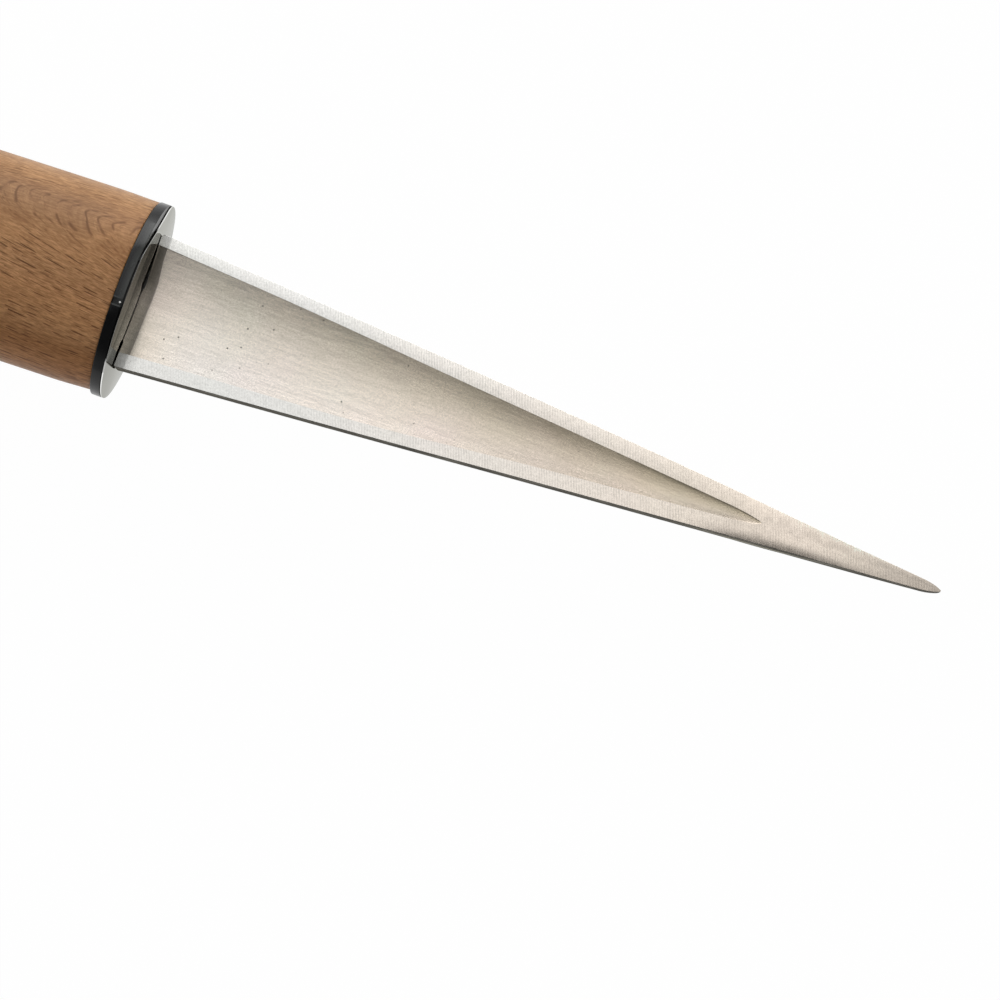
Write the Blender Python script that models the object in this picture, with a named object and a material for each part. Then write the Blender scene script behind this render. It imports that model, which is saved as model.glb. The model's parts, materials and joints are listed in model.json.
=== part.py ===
"""Ice knife: a hollow-ground steel blade on a through tang, a bolster plate, a spacer and a beech grip.

The knife lies on its side, with +X towards the point and +Z out of the blade's upper face. The origin is on
the surface that the knife lies on, under the middle of its length. Every size is in metres.
"""

import math

import bmesh
import bpy
from mathutils import Vector

MM = 0.001

# Clearances
SEAT_GAP = 0.1 * MM  # between flat faces that bear on each other
FIT_GAP = 0.3 * MM  # all round a piece that passes through another

# Blade: one plate with its tang, hollow ground on both faces
BLADE_LENGTH = 150.0 * MM  # from the bolster plate to the point
BLADE_THICKNESS = 5.0 * MM
HEEL_WIDTH = 25.2 * MM
HEEL_CORNER = 0.7 * MM  # corner broken off where the heel meets the bolster plate
TIP_WIDTH = 1.7 * MM  # before its rounding
TIP_ROUND = 3.5 * MM  # how far back the point's rounding starts
EDGE_BULGE = 0.3 * MM  # how far each long edge bows outwards at its middle
POINT_LENGTH = 32.6 * MM  # of the solid point, past the end of the hollow
POINT_FLAT = 1.0 * MM  # between the hollow's end and the start of the point's taper
TIP_THICKNESS = 1.8 * MM
UPPER_RIM = 2.1 * MM  # flat rim above the hollow, at the heel
UPPER_RIM_END = 2.8 * MM  # and where the hollow ends
LOWER_RIM = 2.4 * MM  # flat rim below the hollow, at the heel
LOWER_RIM_END = 3.2 * MM
HOLLOW_DEPTH = 1.1 * MM  # at the heel
HOLLOW_NOSE = 6.0 * MM  # how far back the hollow's end starts to round
HOLLOW_RUNOUT = 0.5 * MM  # past the heel
TANG_WIDTH = 10.0 * MM
STUD_DIAMETER = 5.0 * MM  # the tang's turned and threaded end
STUD_ROOT = 3.0 * MM  # how far the stud runs into the tang's plate
STUD_SHANK = 10.0 * MM  # between the tang's plate and the counterbore
STUD_PROUD = 1.5 * MM  # past the nut

# Bolster plate and spacer: the same oval
BOLSTER_WIDTH = 36.4 * MM
BOLSTER_DEPTH = 29.2 * MM
PLATE_THICKNESS = 0.35 * MM
PLATE_EDGE = 0.12 * MM  # broken edge of the polished face
SPACER_THICKNESS = 1.75 * MM

# Grip: up and down are the wood's top and bottom line as shares of the bolster's half width, depth is a
# share of the bolster's depth, and each span is the distance from the place before it
FRONT_UP_RATIO = 0.973
FRONT_DOWN_RATIO = 0.918
FRONT_DEPTH_RATIO = 0.966
SHOULDER_SPAN = 8.0 * MM
SHOULDER_UP_RATIO = 0.984
SHOULDER_DOWN_RATIO = 0.956
SHOULDER_DEPTH_RATIO = 0.986
BELLY_SPAN = 32.0 * MM
BELLY_UP_RATIO = 0.929
BELLY_DOWN_RATIO = 0.995
BELLY_DEPTH_RATIO = 0.973
WAIST_SPAN = 36.0 * MM
WAIST_UP_RATIO = 0.863
WAIST_DOWN_RATIO = 0.923
WAIST_DEPTH_RATIO = 0.938
REAR_SPAN = 26.0 * MM
REAR_UP_RATIO = 0.874
REAR_DOWN_RATIO = 0.934
REAR_DEPTH_RATIO = 0.993
BUTT_SPAN = 14.0 * MM
BUTT_ROUND = 4.0 * MM  # rounding of the wood's rear edge

# Fastening in the butt's counterbore
COUNTERBORE_ROOM = 1.0 * MM  # around the washer
PLUG_LENGTH = 6.0 * MM
PLUG_CHAMFER = 0.6 * MM
WASHER_RIM = 3.7 * MM  # from its hole to its edge
WASHER_THICKNESS = 1.2 * MM
SPRING_RIM = 1.8 * MM
SPRING_THICKNESS = 1.2 * MM
SPRING_SPLIT = math.radians(14.0)
NUT_WALL = 1.2 * MM  # from its hole to its flats
NUT_HEIGHT = 4.7 * MM

# Fineness of the solids
OVAL_SIDES = 48
ROUND_SIDES = 32
HEX_SIDES = 6
EDGE_STEPS = 10
TIP_STEPS = 8
HOLLOW_STEPS = 8
NOSE_STEPS = 5
TAPER_STEPS = 6
STATION_STEPS = 4
ROUND_STEPS = 4
HOLLOW_SIDES = 160
CUT_OVERRUN = 1.0 * MM  # cutters pass the faces that they open by this much
MERGE_DISTANCE = 0.001 * MM
SHARP_ANGLE = math.radians(30.0)  # steeper edges stay sharp in the shading

# Sizes that follow from these
HOLLOW_RATIO = HOLLOW_DEPTH / (HEEL_WIDTH / 2.0 - (UPPER_RIM + LOWER_RIM) / 2.0)  # depth to half width
GRIP_LENGTH = SHOULDER_SPAN + BELLY_SPAN + WAIST_SPAN + REAR_SPAN + BUTT_SPAN
TANG_SLOT = (TANG_WIDTH + 2.0 * FIT_GAP, BLADE_THICKNESS + 2.0 * FIT_GAP)
STUD_HOLE = STUD_DIAMETER + 2.0 * FIT_GAP
WASHER_DIAMETER = STUD_HOLE + 2.0 * WASHER_RIM
COUNTERBORE_DIAMETER = WASHER_DIAMETER + 2.0 * COUNTERBORE_ROOM

# Places along the knife's axis, measured from the front of the bolster plate
HEEL_X = SEAT_GAP
HOLLOW_END_X = HEEL_X + BLADE_LENGTH - POINT_LENGTH
SPACER_FRONT_X = -PLATE_THICKNESS - SEAT_GAP
SPACER_REAR_X = SPACER_FRONT_X - SPACER_THICKNESS
GRIP_FRONT_X = SPACER_REAR_X - SEAT_GAP
BUTT_X = GRIP_FRONT_X - GRIP_LENGTH
PLUG_FRONT_X = BUTT_X + PLUG_LENGTH
STUD_END_X = PLUG_FRONT_X + FIT_GAP
NUT_REAR_X = STUD_END_X + STUD_PROUD
NUT_FRONT_X = NUT_REAR_X + NUT_HEIGHT
SPRING_REAR_X = NUT_FRONT_X + SEAT_GAP
SPRING_FRONT_X = SPRING_REAR_X + SPRING_THICKNESS
WASHER_REAR_X = SPRING_FRONT_X + SEAT_GAP
WASHER_FRONT_X = WASHER_REAR_X + WASHER_THICKNESS
COUNTERBORE_X = WASHER_FRONT_X + SEAT_GAP
TANG_END_X = COUNTERBORE_X + STUD_SHANK
MORTISE_END_X = TANG_END_X - FIT_GAP

# The knife lies on a flat side of its deepest oval, with its length centred over the origin
GRIP_DEPTH_RATIO = max(
    FRONT_DEPTH_RATIO, SHOULDER_DEPTH_RATIO, BELLY_DEPTH_RATIO, WAIST_DEPTH_RATIO, REAR_DEPTH_RATIO
)
DEEPEST = BOLSTER_DEPTH * max(1.0, GRIP_DEPTH_RATIO)
AXIS_HEIGHT = DEEPEST / 2.0 * math.cos(math.pi / OVAL_SIDES)
AXIS_SHIFT = -(HEEL_X + BLADE_LENGTH + BUTT_X) / 2.0


def finish(name, colour, roughness, metallic=0.0):
    """Makes a plain Principled material."""
    material = bpy.data.materials.new(name)
    material.use_nodes = True
    shader = material.node_tree.nodes["Principled BSDF"]
    shader.inputs["Base Color"].default_value = (*colour, 1.0)
    shader.inputs["Roughness"].default_value = roughness
    shader.inputs["Metallic"].default_value = metallic
    return material


def add_object(name, bm, root, material=None):
    """Turns a bmesh into a named object under the root empty; without a material it is a hidden cutter."""
    bmesh.ops.recalc_face_normals(bm, faces=bm.faces)
    mesh = bpy.data.meshes.new(name)
    bm.to_mesh(mesh)
    bm.free()
    mesh.shade_smooth()
    mesh.set_sharp_from_angle(angle=SHARP_ANGLE)
    thing = bpy.data.objects.new(name, mesh)
    bpy.context.scene.collection.objects.link(thing)
    thing.parent = root
    if material:
        mesh.materials.append(material)
    else:
        thing.hide_render = True
        thing.display_type = "WIRE"
    return thing


def boolean(thing, cutter, operation):
    """Adds a Boolean modifier."""
    modifier = thing.modifiers.new(cutter.name, "BOOLEAN")
    modifier.operation = operation
    modifier.solver = "EXACT"
    modifier.object = cutter


def tube(rings, sides):
    """Rolls a grid into a closed tube along X.

    rings: (x, up, down, half depth) of each oval, from front to rear.
    """
    bm = bmesh.new()
    bmesh.ops.create_grid(bm, x_segments=len(rings) - 1, y_segments=sides, size=0.5)
    for vert in bm.verts:
        x, up, down, depth = rings[round((vert.co.x + 0.5) * (len(rings) - 1))]
        # Half a side's turn puts a flat side, not a corner, on the surface that the knife lies on.
        turn = math.tau * (vert.co.y + 0.5) + math.pi / sides
        height = math.cos(turn) * (up if math.cos(turn) > 0.0 else down)
        vert.co = Vector((x, height, math.sin(turn) * depth))
    bmesh.ops.remove_doubles(bm, verts=bm.verts, dist=MERGE_DISTANCE)
    bmesh.ops.holes_fill(bm, edges=[edge for edge in bm.edges if edge.is_boundary])
    return bm


def rod(front, rear, diameter, sides=ROUND_SIDES):
    """Makes a straight round or hexagonal bar along X."""
    radius = diameter / 2.0
    return tube([(front, radius, radius, radius), (rear, radius, radius, radius)], sides)


def block(front, rear, width, depth):
    """Makes a rectangular bar along X."""
    bm = bmesh.new()
    bmesh.ops.create_cube(bm, size=1.0)
    bmesh.ops.scale(bm, verts=bm.verts, vec=(front - rear, width, depth))
    bmesh.ops.translate(bm, verts=bm.verts, vec=((front + rear) / 2.0, 0.0, 0.0))
    return bm


def blade_half_width(x):
    """Half the blade's width at a distance from the bolster plate, before the point's rounding."""
    share = (x - HEEL_X) / BLADE_LENGTH
    straight = HEEL_WIDTH / 2.0 + share * (TIP_WIDTH - HEEL_WIDTH) / 2.0
    return straight + 4.0 * EDGE_BULGE * share * (1.0 - share)


def blade_upper_outline():
    """The upper half of the blade's outline, from the tang's end to the point."""
    half_tang = TANG_WIDTH / 2.0
    tip_x = HEEL_X + BLADE_LENGTH - TIP_ROUND
    points = [(TANG_END_X, half_tang), (HEEL_X, half_tang)]
    points.append((HEEL_X, HEEL_WIDTH / 2.0 - HEEL_CORNER))
    start = HEEL_X + HEEL_CORNER
    for step in range(EDGE_STEPS + 1):
        x = start + (tip_x - start) * step / EDGE_STEPS
        points.append((x, blade_half_width(x)))
    for step in range(1, TIP_STEPS + 1):
        turn = math.pi / 2.0 * step / TIP_STEPS
        x = tip_x + TIP_ROUND * math.sin(turn)
        points.append((x, blade_half_width(x) * math.cos(turn)))
    return points


def blade_plate():
    """Extrudes the blade's outline, tang included, to its thickness."""
    upper = blade_upper_outline()
    lower = [(x, -y) for x, y in reversed(upper[:-1])]
    outline = [*upper[:-1], (upper[-1][0], 0.0), *lower]
    bm = bmesh.new()
    corners = [bm.verts.new((x, y, -BLADE_THICKNESS / 2.0)) for x, y in outline]
    face = bm.faces.new(corners)
    grown = bmesh.ops.extrude_face_region(bm, geom=[face])
    lifted = [item for item in grown["geom"] if isinstance(item, bmesh.types.BMVert)]
    bmesh.ops.translate(bm, verts=lifted, vec=(0.0, 0.0, BLADE_THICKNESS))
    return bm


def hollow_line(x):
    """Centre and half width of the hollow at a distance from the bolster plate."""
    share = (x - HEEL_X) / (HOLLOW_END_X - HEEL_X)
    upper = UPPER_RIM + share * (UPPER_RIM_END - UPPER_RIM)
    lower = LOWER_RIM + share * (LOWER_RIM_END - LOWER_RIM)
    past = max(x - (HOLLOW_END_X - HOLLOW_NOSE), 0.0) / HOLLOW_NOSE
    half_width = blade_half_width(x) - (upper + lower) / 2.0
    return (lower - upper) / 2.0, half_width * math.sqrt(max(1.0 - past**2, 0.0))


def hollow_bar(side):
    """A tapered round bar with a blunt nose, whose sections leave the hollow's arc.

    side: 1 for the blade's upper face, -1 for its lower face.
    """
    front = HEEL_X - HOLLOW_RUNOUT
    nose = HOLLOW_END_X - HOLLOW_NOSE
    places = [front + (nose - front) * step / HOLLOW_STEPS for step in range(HOLLOW_STEPS + 1)]
    for step in range(1, NOSE_STEPS + 1):
        places.append(nose + HOLLOW_NOSE * math.sin(math.pi / 2.0 * step / NOSE_STEPS))
    swell = (1.0 + HOLLOW_RATIO**2) / (2.0 * HOLLOW_RATIO)  # radius to half width
    radii = [swell * hollow_line(x)[1] for x in places]
    bm = tube([(x, radius, radius, radius) for x, radius in zip(places, radii)], HOLLOW_SIDES)
    for vert in bm.verts:
        centre, half_width = hollow_line(vert.co.x)
        height = BLADE_THICKNESS / 2.0 + (swell - HOLLOW_RATIO) * half_width
        vert.co += Vector((0.0, centre, side * height))
    return bm


def taper_wedge(side):
    """A block with a bowed underside that thins the point from one face.

    side: 1 for the blade's upper face, -1 for its lower face.
    """
    start = HOLLOW_END_X + POINT_FLAT
    run = HEEL_X + BLADE_LENGTH - start
    fall = (BLADE_THICKNESS - TIP_THICKNESS) / 2.0
    face = BLADE_THICKNESS / 2.0
    outline = []
    for step in range(TAPER_STEPS + 2):
        share = step / TAPER_STEPS
        outline.append((start + run * share, face - fall * share**2))
    outline.append((outline[-1][0], face + CUT_OVERRUN))
    outline.append((start, face + CUT_OVERRUN))
    bm = bmesh.new()
    reach = HEEL_WIDTH
    wall = bm.faces.new([bm.verts.new((x, -reach, side * z)) for x, z in outline])
    grown = bmesh.ops.extrude_face_region(bm, geom=[wall])
    pushed = [item for item in grown["geom"] if isinstance(item, bmesh.types.BMVert)]
    bmesh.ops.translate(bm, verts=pushed, vec=(0.0, 2.0 * reach, 0.0))
    return bm


def build_blade(root, material):
    """The blade with its tang and stud, hollow ground on both faces and thinned towards its point."""
    blade = add_object("blade", blade_plate(), root, material)
    stud = add_object("stud_form", rod(TANG_END_X + STUD_ROOT, STUD_END_X, STUD_DIAMETER), root)
    boolean(blade, stud, "UNION")
    for side, label in ((1, "upper"), (-1, "lower")):
        bar = add_object(f"hollow_{label}_cutter", hollow_bar(side), root)
        boolean(blade, bar, "DIFFERENCE")
        wedge = add_object(f"taper_{label}_cutter", taper_wedge(side), root)
        boolean(blade, wedge, "DIFFERENCE")


def bolster_oval(x, inset=0.0):
    """One ring of the oval that the plate and the spacer share."""
    half_width = BOLSTER_WIDTH / 2.0 - inset
    return (x, half_width, half_width, BOLSTER_DEPTH / 2.0 - inset)


def build_bolster(root, plate_finish, spacer_finish):
    """The polished plate and the black spacer, both slotted for the tang."""
    plate_rings = [
        bolster_oval(0.0, PLATE_EDGE),
        bolster_oval(-PLATE_EDGE),
        bolster_oval(-PLATE_THICKNESS),
    ]
    plate = add_object("bolster_plate", tube(plate_rings, OVAL_SIDES), root, plate_finish)
    spacer_rings = [bolster_oval(SPACER_FRONT_X), bolster_oval(SPACER_REAR_X)]
    spacer = add_object("spacer", tube(spacer_rings, OVAL_SIDES), root, spacer_finish)
    slot = add_object("slot_cutter", block(CUT_OVERRUN, SPACER_REAR_X - CUT_OVERRUN, *TANG_SLOT), root)
    for piece in (plate, spacer):
        boolean(piece, slot, "DIFFERENCE")


def grip_stations():
    """(x, up, down, half depth) where the grip's lines are set, from front to rear."""
    places = [
        (0.0, FRONT_UP_RATIO, FRONT_DOWN_RATIO, FRONT_DEPTH_RATIO),
        (SHOULDER_SPAN, SHOULDER_UP_RATIO, SHOULDER_DOWN_RATIO, SHOULDER_DEPTH_RATIO),
        (BELLY_SPAN, BELLY_UP_RATIO, BELLY_DOWN_RATIO, BELLY_DEPTH_RATIO),
        (WAIST_SPAN, WAIST_UP_RATIO, WAIST_DOWN_RATIO, WAIST_DEPTH_RATIO),
        (REAR_SPAN, REAR_UP_RATIO, REAR_DOWN_RATIO, REAR_DEPTH_RATIO),
    ]
    half_width = BOLSTER_WIDTH / 2.0
    half_depth = BOLSTER_DEPTH / 2.0
    stations = []
    x = GRIP_FRONT_X
    for span, up, down, depth in places:
        x -= span
        stations.append((x, up * half_width, down * half_width, depth * half_depth))
    return stations


def slopes(stations):
    """The slope of each line at each station, so that a smooth curve joins them; level at the rear."""
    last = len(stations) - 1
    table = []
    for index in range(last):
        before = stations[max(index - 1, 0)]
        after = stations[index + 1]
        table.append([(b - a) / (after[0] - before[0]) for a, b in zip(before[1:], after[1:])])
    table.append([0.0] * (len(stations[0]) - 1))
    return table


def blended(first, first_slope, last, last_slope, run, share):
    """A cubic from one value and slope to the next, over a run along X."""
    rest = 1.0 - share
    start = first * (1.0 + 2.0 * share) * rest**2 + first_slope * run * share * rest**2
    end = last * (1.0 + 2.0 * rest) * share**2 - last_slope * run * rest * share**2
    return start + end


def grip_rings():
    """The grip's ovals from front to butt, with its rear edge rounded."""
    stations = grip_stations()
    table = slopes(stations)
    rings = []
    for index in range(len(stations) - 1):
        here, after = stations[index], stations[index + 1]
        run = after[0] - here[0]
        for step in range(STATION_STEPS):
            share = step / STATION_STEPS
            lines = zip(here[1:], table[index], after[1:], table[index + 1])
            sizes = [blended(a, slope_a, b, slope_b, run, share) for a, slope_a, b, slope_b in lines]
            rings.append((here[0] + run * share, *sizes))
    rear = stations[-1]
    rings.append(rear)
    for step in range(ROUND_STEPS + 1):
        turn = math.pi / 2.0 * step / ROUND_STEPS
        inset = BUTT_ROUND * (1.0 - math.cos(turn))
        x = BUTT_X + BUTT_ROUND * (1.0 - math.sin(turn))
        rings.append((x, *(size - inset for size in rear[1:])))
    return rings


def build_grip(root, material):
    """The beech grip with its mortise, stud hole and counterbore."""
    grip = add_object("grip", tube(grip_rings(), OVAL_SIDES), root, material)
    cutters = {
        "mortise_cutter": block(GRIP_FRONT_X + CUT_OVERRUN, MORTISE_END_X, *TANG_SLOT),
        "stud_hole_cutter": rod(TANG_END_X, COUNTERBORE_X - CUT_OVERRUN, STUD_HOLE),
        "counterbore_cutter": rod(COUNTERBORE_X, BUTT_X - CUT_OVERRUN, COUNTERBORE_DIAMETER),
    }
    for name, bm in cutters.items():
        boolean(grip, add_object(name, bm, root), "DIFFERENCE")


def ring(front, rear, outer, inner, opening=0.0):
    """A flat ring around X, spun from its section; an opening in radians leaves it split."""
    bm = bmesh.new()
    section = ((front, inner), (front, outer), (rear, outer), (rear, inner))
    corners = [bm.verts.new((x, 0.0, size / 2.0)) for x, size in section]
    sides = [bm.edges.new((corners[index - 1], corners[index])) for index in range(len(corners))]
    bmesh.ops.spin(
        bm,
        geom=[*corners, *sides],
        axis=(1.0, 0.0, 0.0),
        cent=(0.0, 0.0, 0.0),
        angle=math.tau - opening,
        steps=ROUND_SIDES,
        use_merge=not opening,
    )
    bmesh.ops.holes_fill(bm, edges=[edge for edge in bm.edges if edge.is_boundary])
    return bm


def build_fastening(root, steel, wood):
    """Washer, spring washer and nut on the tang's stud, and the plug that closes the counterbore."""
    washer = ring(WASHER_FRONT_X, WASHER_REAR_X, WASHER_DIAMETER, STUD_HOLE)
    add_object("tang_washer", washer, root, steel)
    spring_diameter = STUD_HOLE + 2.0 * SPRING_RIM
    spring = ring(SPRING_FRONT_X, SPRING_REAR_X, spring_diameter, STUD_HOLE, SPRING_SPLIT)
    add_object("spring_washer", spring, root, steel)
    across_corners = (STUD_HOLE + 2.0 * NUT_WALL) / math.cos(math.pi / HEX_SIDES)
    nut = add_object("tang_nut", rod(NUT_FRONT_X, NUT_REAR_X, across_corners, HEX_SIDES), root, steel)
    nut_hole = rod(NUT_FRONT_X + CUT_OVERRUN, NUT_REAR_X - CUT_OVERRUN, STUD_HOLE)
    boolean(nut, add_object("nut_hole_cutter", nut_hole, root), "DIFFERENCE")
    radius = COUNTERBORE_DIAMETER / 2.0 - FIT_GAP
    narrow = radius - PLUG_CHAMFER
    plug = tube(
        [
            (PLUG_FRONT_X, narrow, narrow, narrow),
            (PLUG_FRONT_X - PLUG_CHAMFER, radius, radius, radius),
            (BUTT_X, radius, radius, radius),
        ],
        ROUND_SIDES,
    )
    add_object("butt_plug", plug, root, wood)


def main():
    """Clears the scene and builds the knife."""
    for thing in list(bpy.data.objects):
        bpy.data.objects.remove(thing, do_unlink=True)
    root = bpy.data.objects.new("knife_axis", None)
    root.location = (AXIS_SHIFT, 0.0, AXIS_HEIGHT)
    bpy.context.scene.collection.objects.link(root)
    bpy.context.view_layer.update()
    ground_steel = finish("ground_steel", (0.68, 0.64, 0.59), 0.34, 1.0)
    polished_steel = finish("polished_steel", (0.72, 0.72, 0.70), 0.08, 1.0)
    black_plastic = finish("black_plastic", (0.012, 0.012, 0.013), 0.25)
    beech = finish("beech", (0.31, 0.17, 0.09), 0.5)
    zinc_steel = finish("zinc_steel", (0.55, 0.55, 0.54), 0.4, 1.0)
    build_blade(root, ground_steel)
    build_bolster(root, polished_steel, black_plastic)
    build_grip(root, beech)
    build_fastening(root, zinc_steel, beech)


main()
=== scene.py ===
"""Ice knife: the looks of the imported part, its stage, its light and the camera of the photograph.

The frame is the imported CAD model, in metres, with +X towards the point and +Z out of the blade's upper face.
Lengths below are measured from the knife's axis and from the front of the bolster plate.
"""

from __future__ import annotations

import json
import logging
import math
from dataclasses import asdict, dataclass, field
from enum import Enum
from typing import Any, Iterable, Sequence

import bmesh
import bpy
from mathutils import Matrix, Vector

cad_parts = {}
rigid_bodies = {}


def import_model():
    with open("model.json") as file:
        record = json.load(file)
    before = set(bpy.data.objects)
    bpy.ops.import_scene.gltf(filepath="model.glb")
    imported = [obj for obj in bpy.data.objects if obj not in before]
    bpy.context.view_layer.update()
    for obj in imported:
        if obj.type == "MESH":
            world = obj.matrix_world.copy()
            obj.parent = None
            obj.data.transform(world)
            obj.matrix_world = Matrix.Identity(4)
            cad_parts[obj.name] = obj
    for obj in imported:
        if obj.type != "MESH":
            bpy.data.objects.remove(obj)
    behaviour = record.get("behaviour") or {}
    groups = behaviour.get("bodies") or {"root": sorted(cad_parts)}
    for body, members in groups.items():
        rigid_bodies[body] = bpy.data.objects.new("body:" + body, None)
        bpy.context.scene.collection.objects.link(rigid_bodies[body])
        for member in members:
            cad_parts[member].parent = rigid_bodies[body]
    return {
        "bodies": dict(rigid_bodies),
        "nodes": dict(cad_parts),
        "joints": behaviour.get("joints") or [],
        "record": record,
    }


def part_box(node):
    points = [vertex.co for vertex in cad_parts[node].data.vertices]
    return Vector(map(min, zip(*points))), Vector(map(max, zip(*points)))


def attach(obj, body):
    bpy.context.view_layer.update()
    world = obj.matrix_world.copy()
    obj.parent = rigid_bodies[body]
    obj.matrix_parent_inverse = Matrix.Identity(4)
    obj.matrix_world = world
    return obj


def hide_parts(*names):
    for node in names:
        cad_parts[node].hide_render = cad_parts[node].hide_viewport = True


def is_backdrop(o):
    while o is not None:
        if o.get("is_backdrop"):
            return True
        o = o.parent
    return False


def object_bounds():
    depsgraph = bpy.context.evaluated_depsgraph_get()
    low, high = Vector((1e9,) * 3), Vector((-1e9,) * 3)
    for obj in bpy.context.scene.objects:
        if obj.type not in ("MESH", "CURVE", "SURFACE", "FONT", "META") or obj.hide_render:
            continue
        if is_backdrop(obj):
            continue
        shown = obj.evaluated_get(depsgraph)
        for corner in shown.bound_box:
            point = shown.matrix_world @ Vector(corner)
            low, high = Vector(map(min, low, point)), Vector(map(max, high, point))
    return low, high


LOG = logging.getLogger("ice_knife")
MM = 0.001
BODY = "root"
MERGE = 0.0005 * MM
UV_SCALE = 10.0
TABLE_BLUR = 0.06
QUARTER = math.pi / 2.0

Mesh = bmesh.types.BMesh
Material = bpy.types.Material
Node = bpy.types.Node
Socket = bpy.types.NodeSocket
Tree = bpy.types.NodeTree
Colour = tuple[float, float, float]
Pair = tuple[float, float]
Range = tuple[float, ...]
Sockets = dict[Any, Any]
Table = tuple[Pair, ...]


class Slot(Enum):
    """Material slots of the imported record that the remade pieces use."""

    GROUND_STEEL = "ground_steel"
    POLISHED_STEEL = "polished_steel"
    BLACK_PLASTIC = "black_plastic"
    BEECH = "beech"


class Zone(Enum):
    """Zones of the blade's surface, in the order of its material slots."""

    RIM = 0
    HOLLOW = 1
    EDGE = 2


class BeechTone(Enum):
    """Colours of beech cut along the grain, from its ground to its marks, and a painted light for the grip's
    upper side.
    """

    DULL = (0.475, 0.246, 0.111)
    PALE = (0.568, 0.310, 0.146)
    FINE = (0.31, 0.146, 0.060)
    # Painted light on the grip's upper side.
    LIT_SIDE = (0.57, 0.352, 0.192)
    PORE = (0.25, 0.116, 0.047)
    THREAD = (0.20, 0.088, 0.034)
    ARC = (0.20, 0.084, 0.031)
    FLECK = (0.085, 0.033, 0.012)


class CutTone(Enum):
    """Colours of beech cut across the grain."""

    GROUND = (0.40, 0.212, 0.098)
    RING = (0.25, 0.118, 0.049)
    PORE = (0.15, 0.065, 0.026)


class NodeSketch:
    """Adds nodes to one shader tree and links them."""

    mix_inputs = (0, 6, 7)
    mix_output = 2

    def __init__(self, tree: Tree) -> None:
        """Takes the tree to draw in."""
        self.tree = tree

    def feed(self, value: Any, node: Node, name: Any) -> None:
        """Links an output to one of a node's inputs, or sets that input to a value."""
        if isinstance(value, Socket):
            self.tree.links.new(value, node.inputs[name])
        else:
            node.inputs[name].default_value = value

    def add(self, kind: str, inputs: Sockets | None = None, **settings: Any) -> Node:
        """Adds one node.

        Args:
            kind: the node's type, without its ShaderNode prefix.
            inputs: socket names or numbers with a value each, or with an output socket to link.
            settings: properties of the node.

        Returns:
            The new node.
        """
        node = self.tree.nodes.new(kind if kind.startswith("NodeGroup") else "ShaderNode" + kind)
        for name, value in settings.items():
            setattr(node, name, value)
        for name, value in (inputs or {}).items():
            self.feed(value, node, name)
        return node

    def value(self, operation: str, *terms: Any) -> Socket:
        """Does sums on numbers or sockets and returns the output."""
        return self.add("Math", dict(enumerate(terms)), operation=operation).outputs[0]

    def product(self, *terms: Any) -> Socket:
        """Multiplies numbers and returns the output."""
        total = terms[0]
        for term in terms[1:]:
            total = self.value("MULTIPLY", total, term)
        return total

    def ramp(self, value: Any, rise: Any, base: Any) -> Socket:
        """Multiplies a value by a rise, adds a base and returns the output."""
        return self.value("MULTIPLY_ADD", value, rise, base)

    def square(self, value: Any) -> Socket:
        """Squares a value and returns the output."""
        return self.value("POWER", self.value("ABSOLUTE", value), 2.0)

    def span(self, value: Any, low: float, high: float, start: float = 0.0, end: float = 1.0) -> Any:
        """Maps a value from one range to another, clamped, and returns the output."""
        names = ("Value", "From Min", "From Max", "To Min", "To Max")
        return self.add("MapRange", dict(zip(names, (value, low, high, start, end)))).outputs[0]

    def fade(self, mask: Any, level: float) -> Any:
        """Goes from 1 outside a mask to a level inside it and returns the output."""
        return self.span(mask, 0.0, 1.0, 1.0, level)

    def mix(self, share: Any, first: Any, second: Any, blend: str = "MIX") -> Socket:
        """Mixes two colours and returns the output."""
        node = self.add("Mix", data_type="RGBA", blend_type=blend)
        colours = [(*item, 1.0) if isinstance(item, tuple) else item for item in (first, second)]
        for index, item in zip(self.mix_inputs, (share, *colours)):
            self.feed(item, node, index)
        return node.outputs[self.mix_output]

    def tint(self, colour: Any, hue: Any) -> Socket:
        """Multiplies two colours and returns the output."""
        return self.mix(1.0, colour, hue, "MULTIPLY")

    def dim(self, colour: Any, level: Any) -> Socket:
        """Multiplies a colour by a number and returns the output."""
        return self.add("VectorMath", {0: colour, "Scale": level}, operation="SCALE").outputs[0]

    def parts(self, vector: Any) -> Any:
        """Splits a vector and returns the three outputs."""
        return self.add("SeparateXYZ", {0: vector}).outputs

    def joined(self, *terms: Any) -> Socket:
        """Joins numbers to a vector and returns the output."""
        return self.add("CombineXYZ", dict(enumerate(terms))).outputs[0]

    def scaled(self, vector: Any, scale: Any) -> Socket:
        """Multiplies a vector by a scale per axis and returns the output."""
        return self.add("VectorMath", {0: vector, 1: scale}, operation="MULTIPLY").outputs[0]

    def noise(self, vector: Any, scale: Any, detail: float = 3.0, rough: float = 0.5) -> Any:
        """Adds a noise texture and returns its value."""
        sockets = {"Vector": vector, "Scale": scale, "Detail": detail, "Roughness": rough}
        return self.add("TexNoise", sockets).outputs[0]

    def stretched(self, vector: Any, scale: Range, detail: float = 3.0, rough: float = 0.5) -> Any:
        """Adds a noise texture that is stretched by a scale per axis and returns its value."""
        return self.noise(self.scaled(vector, scale), 1.0, detail, rough)

    def attribute(self, name: str) -> Socket:
        """Reads a number that is kept on the mesh and returns the output."""
        return self.add("Attribute", attribute_name=name).outputs["Fac"]

    def group(self, tree: Tree, inputs: Sockets) -> Any:
        """Places a node group with its own values and returns its outputs."""
        return self.add("Group", inputs, node_tree=tree).outputs


@dataclass(frozen=True)
class Marks:
    """One layer of short dark marks in the wood, in millimetres."""

    cell: float
    spread: float
    length: float
    width: float
    share: float
    seed: float


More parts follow.
